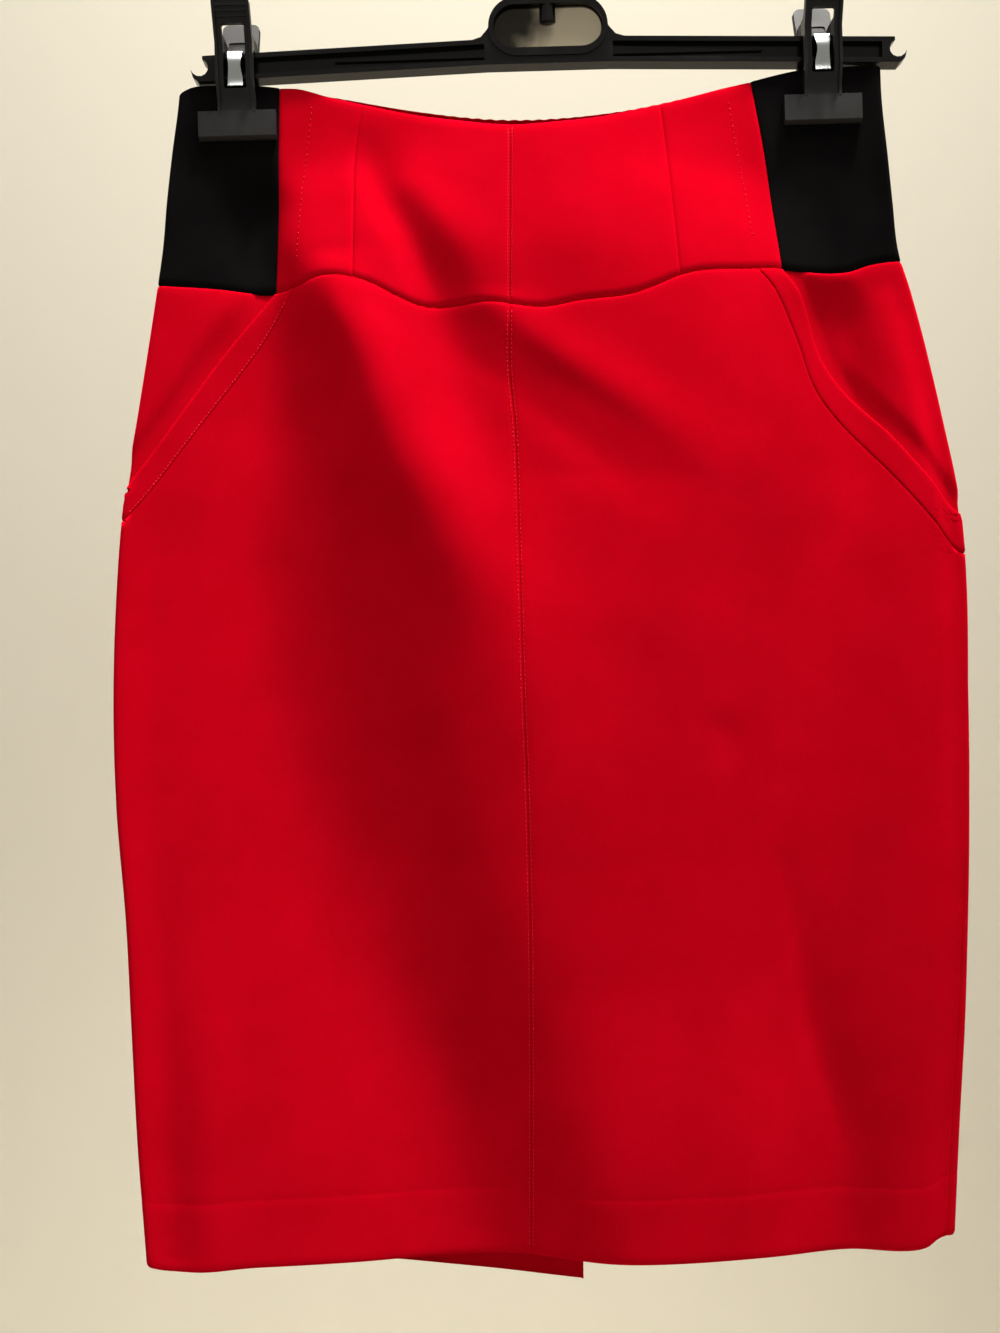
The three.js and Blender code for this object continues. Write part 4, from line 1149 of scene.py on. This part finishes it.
def centre_plate(name, way):
    """The glossy oval plate on one face of the web, its rim raised a little."""
    near, far = WEB / 2 + 0.02, WEB / 2 + 0.42
    deselect_all()
    bpy.ops.mesh.primitive_cube_add(size=1, location=(0, way * (near + far) / 2 * MM, OVAL_MIDDLE * MM),
                                    scale=(58 * MM, (far - near) * MM, 22.5 * MM))
    obj = bpy.context.object
    settle(obj)
    bpy.ops.object.mode_set(mode="EDIT")
    pick(obj, "EDGE", lambda edge: abs(edge.verts[0].co.y - edge.verts[1].co.y) > 0.2 * MM)
    bpy.ops.mesh.bevel(offset=11.2 * MM, segments=12, affect="EDGES")
    pick(obj, "FACE", lambda face: face.normal.y * way > 0.9)
    bpy.ops.mesh.inset(thickness=0.7 * MM)
    bpy.ops.transform.translate(value=(0, -way * 0.12 * MM, 0))
    pick(obj, "EDGE", lambda edge: all(abs(v.co.y - way * far * MM) < 1e-5 for v in edge.verts)
         and len(edge.link_faces) == 2 and any(abs(f.normal.y) < 0.2 for f in edge.link_faces))
    bpy.ops.mesh.bevel(offset=0.14 * MM, segments=2, affect="EDGES")
    settle(obj, TILT)
    fit(obj, name, plate_gloss, 30)


centre_plate("centre_plate_front", -1)
centre_plate("centre_plate_back", 1)


def clip_spring(name, middle, crown):
    """A waisted steel strip, pulled up from its foot over the bar and down again."""
    arm = [
        (6.9, -110.2, 4.0), (6.3, -108.4, 4.0), (5.95, -106.4, 4.0), (5.95, -104.8, 3.9), (6.5, -103.6, 3.7),
        (7.5, -101.4, 3.3), (7.9, -99, 3.2), (7.8, -97, 3.4), (7.2, -95, 3.8), (6.5, -93.4, 4.0),
        (5.9, crown - 0.7, 4.0), (5.1, crown + 0.1, 4.0), (2.5, crown + 0.1, 4.0),
    ]
    route = [(-y, z, half) for y, z, half in arm] + [(y, z, half) for y, z, half in reversed(arm)]
    (y0, z0, half), (y1, z1, _) = route[:2]
    deselect_all()
    bpy.ops.mesh.primitive_plane_add(
        size=1, location=(middle * MM, (y0 + y1) / 2 * MM, (z0 + z1) / 2 * MM),
        rotation=(math.atan2(z1 - z0, y1 - y0), 0, 0))
    obj = bpy.context.object
    obj.scale = (2 * half * MM, math.hypot(y1 - y0, z1 - z0) * MM, 1)
    settle(obj)
    bpy.ops.object.mode_set(mode="EDIT")
    pick(obj, "EDGE", lambda edge: all(
        math.hypot(v.co.y - y1 * MM, v.co.z - z1 * MM) < 1e-5 for v in edge.verts))
    for (ya, za, wa), (yb, zb, wb) in zip(route[1:], route[2:]):
        bpy.ops.mesh.extrude_edges_move(TRANSFORM_OT_translate={"value": (0, (yb - ya) * MM, (zb - za) * MM)})
        bpy.ops.transform.resize(value=(wb / wa, 1, 1), center_override=(middle * MM, yb * MM, zb * MM))
    bpy.ops.mesh.select_all(action="SELECT")
    bpy.ops.mesh.normals_make_consistent(inside=False)
    settle(obj, TILT)
    apply_modifier(obj, "SOLIDIFY", thickness=0.5 * MM, offset=0)
    apply_modifier(obj, "BEVEL", width=0.1 * MM, segments=2, limit_method="ANGLE",
                   angle_limit=math.radians(60))
    apply_modifier(obj, "SUBSURF", levels=1, render_levels=1)
    fit(obj, name + "_strip", spring_steel, 45, name)


clip_spring("spring_left", -168, -90.93)
clip_spring("spring_right", 146.2, -90.26)

# Camera, light and backdrop

CAMERA_X, CAMERA_BACK, CAMERA_Z = -0.0234, 0.600, -0.425
camera_data = bpy.data.cameras.new("camera")
camera_data.lens = 30.0
camera_data.sensor_width = 36.0
camera_data.clip_start = 0.01
camera = bpy.data.objects.new("camera", camera_data)
camera.location = (CAMERA_X, -CAMERA_BACK, CAMERA_Z)
camera.rotation_euler = (math.radians(90), 0, 0)
bpy.context.scene.collection.objects.link(camera)
bpy.context.scene.camera = camera


FLOOR, FLOOR_FRONT, FLOOR_BACK = -2.2, -3.0, 0.85
SWEEP = 0.4
WALL_TOP, HALF_WIDTH = 2.0, 3.5


def backdrop():
    """A floor that sweeps up into a wall."""
    rows = [(FLOOR_FRONT, FLOOR), (FLOOR_BACK, FLOOR)]
    for degrees in range(0, 91, 10):
        a = math.radians(degrees)
        rows.append((FLOOR_BACK + SWEEP * math.sin(a), FLOOR + SWEEP * (1 - math.cos(a))))
    rows.append((FLOOR_BACK + SWEEP, WALL_TOP))
    mesh = bpy.data.meshes.new("backdrop")
    verts = [(x, y, z) for y, z in rows for x in (-HALF_WIDTH, HALF_WIDTH)]
    faces = [(2 * i, 2 * i + 1, 2 * i + 3, 2 * i + 2) for i in range(len(rows) - 1)]
    mesh.from_pydata(verts, [], faces)
    mesh.shade_smooth()
    paint = bpy.data.materials.new("backdrop_paint")
    paint.use_nodes = True
    shader = paint.node_tree.nodes["Principled BSDF"]
    shader.inputs["Base Color"].default_value = (0.77, 0.725, 0.605, 1)
    shader.inputs["Roughness"].default_value = 0.9
    mesh.materials.append(paint)
    obj = bpy.data.objects.new("backdrop", mesh)
    bpy.context.scene.collection.objects.link(obj)


backdrop()


def area_light(name, place_at, look_at, size, watts, colour, spread):
    """A square lamp that looks from one point at another."""
    data = bpy.data.lights.new(name, "AREA")
    data.size = size
    data.energy = watts
    data.color = colour
    data.spread = math.radians(spread)
    obj = bpy.data.objects.new(name, data)
    obj.location = place_at
    x, y, z = (b - a for a, b in zip(place_at, look_at))
    flat = math.hypot(x, y)
    obj.rotation_euler = (math.atan2(flat, -z), 0, math.atan2(-x, y))
    bpy.context.scene.collection.objects.link(obj)


WARM = (1, 0.97, 0.92)
area_light("key", (0.6, -0.42, 2.6), (0, 0, -0.25), 0.3, 11.4, WARM, 40)
area_light("back_key", (-0.6, 0.42, 2.6), (0, 0, -0.25), 0.3, 10, WARM, 40)
area_light("backdrop_light", (0, -0.5, 2.2), (0, 1.25, -0.35), 1.2, 40, (1, 0.98, 0.94), 130)

world = bpy.data.worlds.new("room")
world.use_nodes = True
world.node_tree.nodes["Background"].inputs["Color"].default_value = (1, 0.95, 0.88, 1)
world.node_tree.nodes["Background"].inputs["Strength"].default_value = 0.36
bpy.context.scene.world = world
bpy.context.scene.view_settings.view_transform = "Standard"
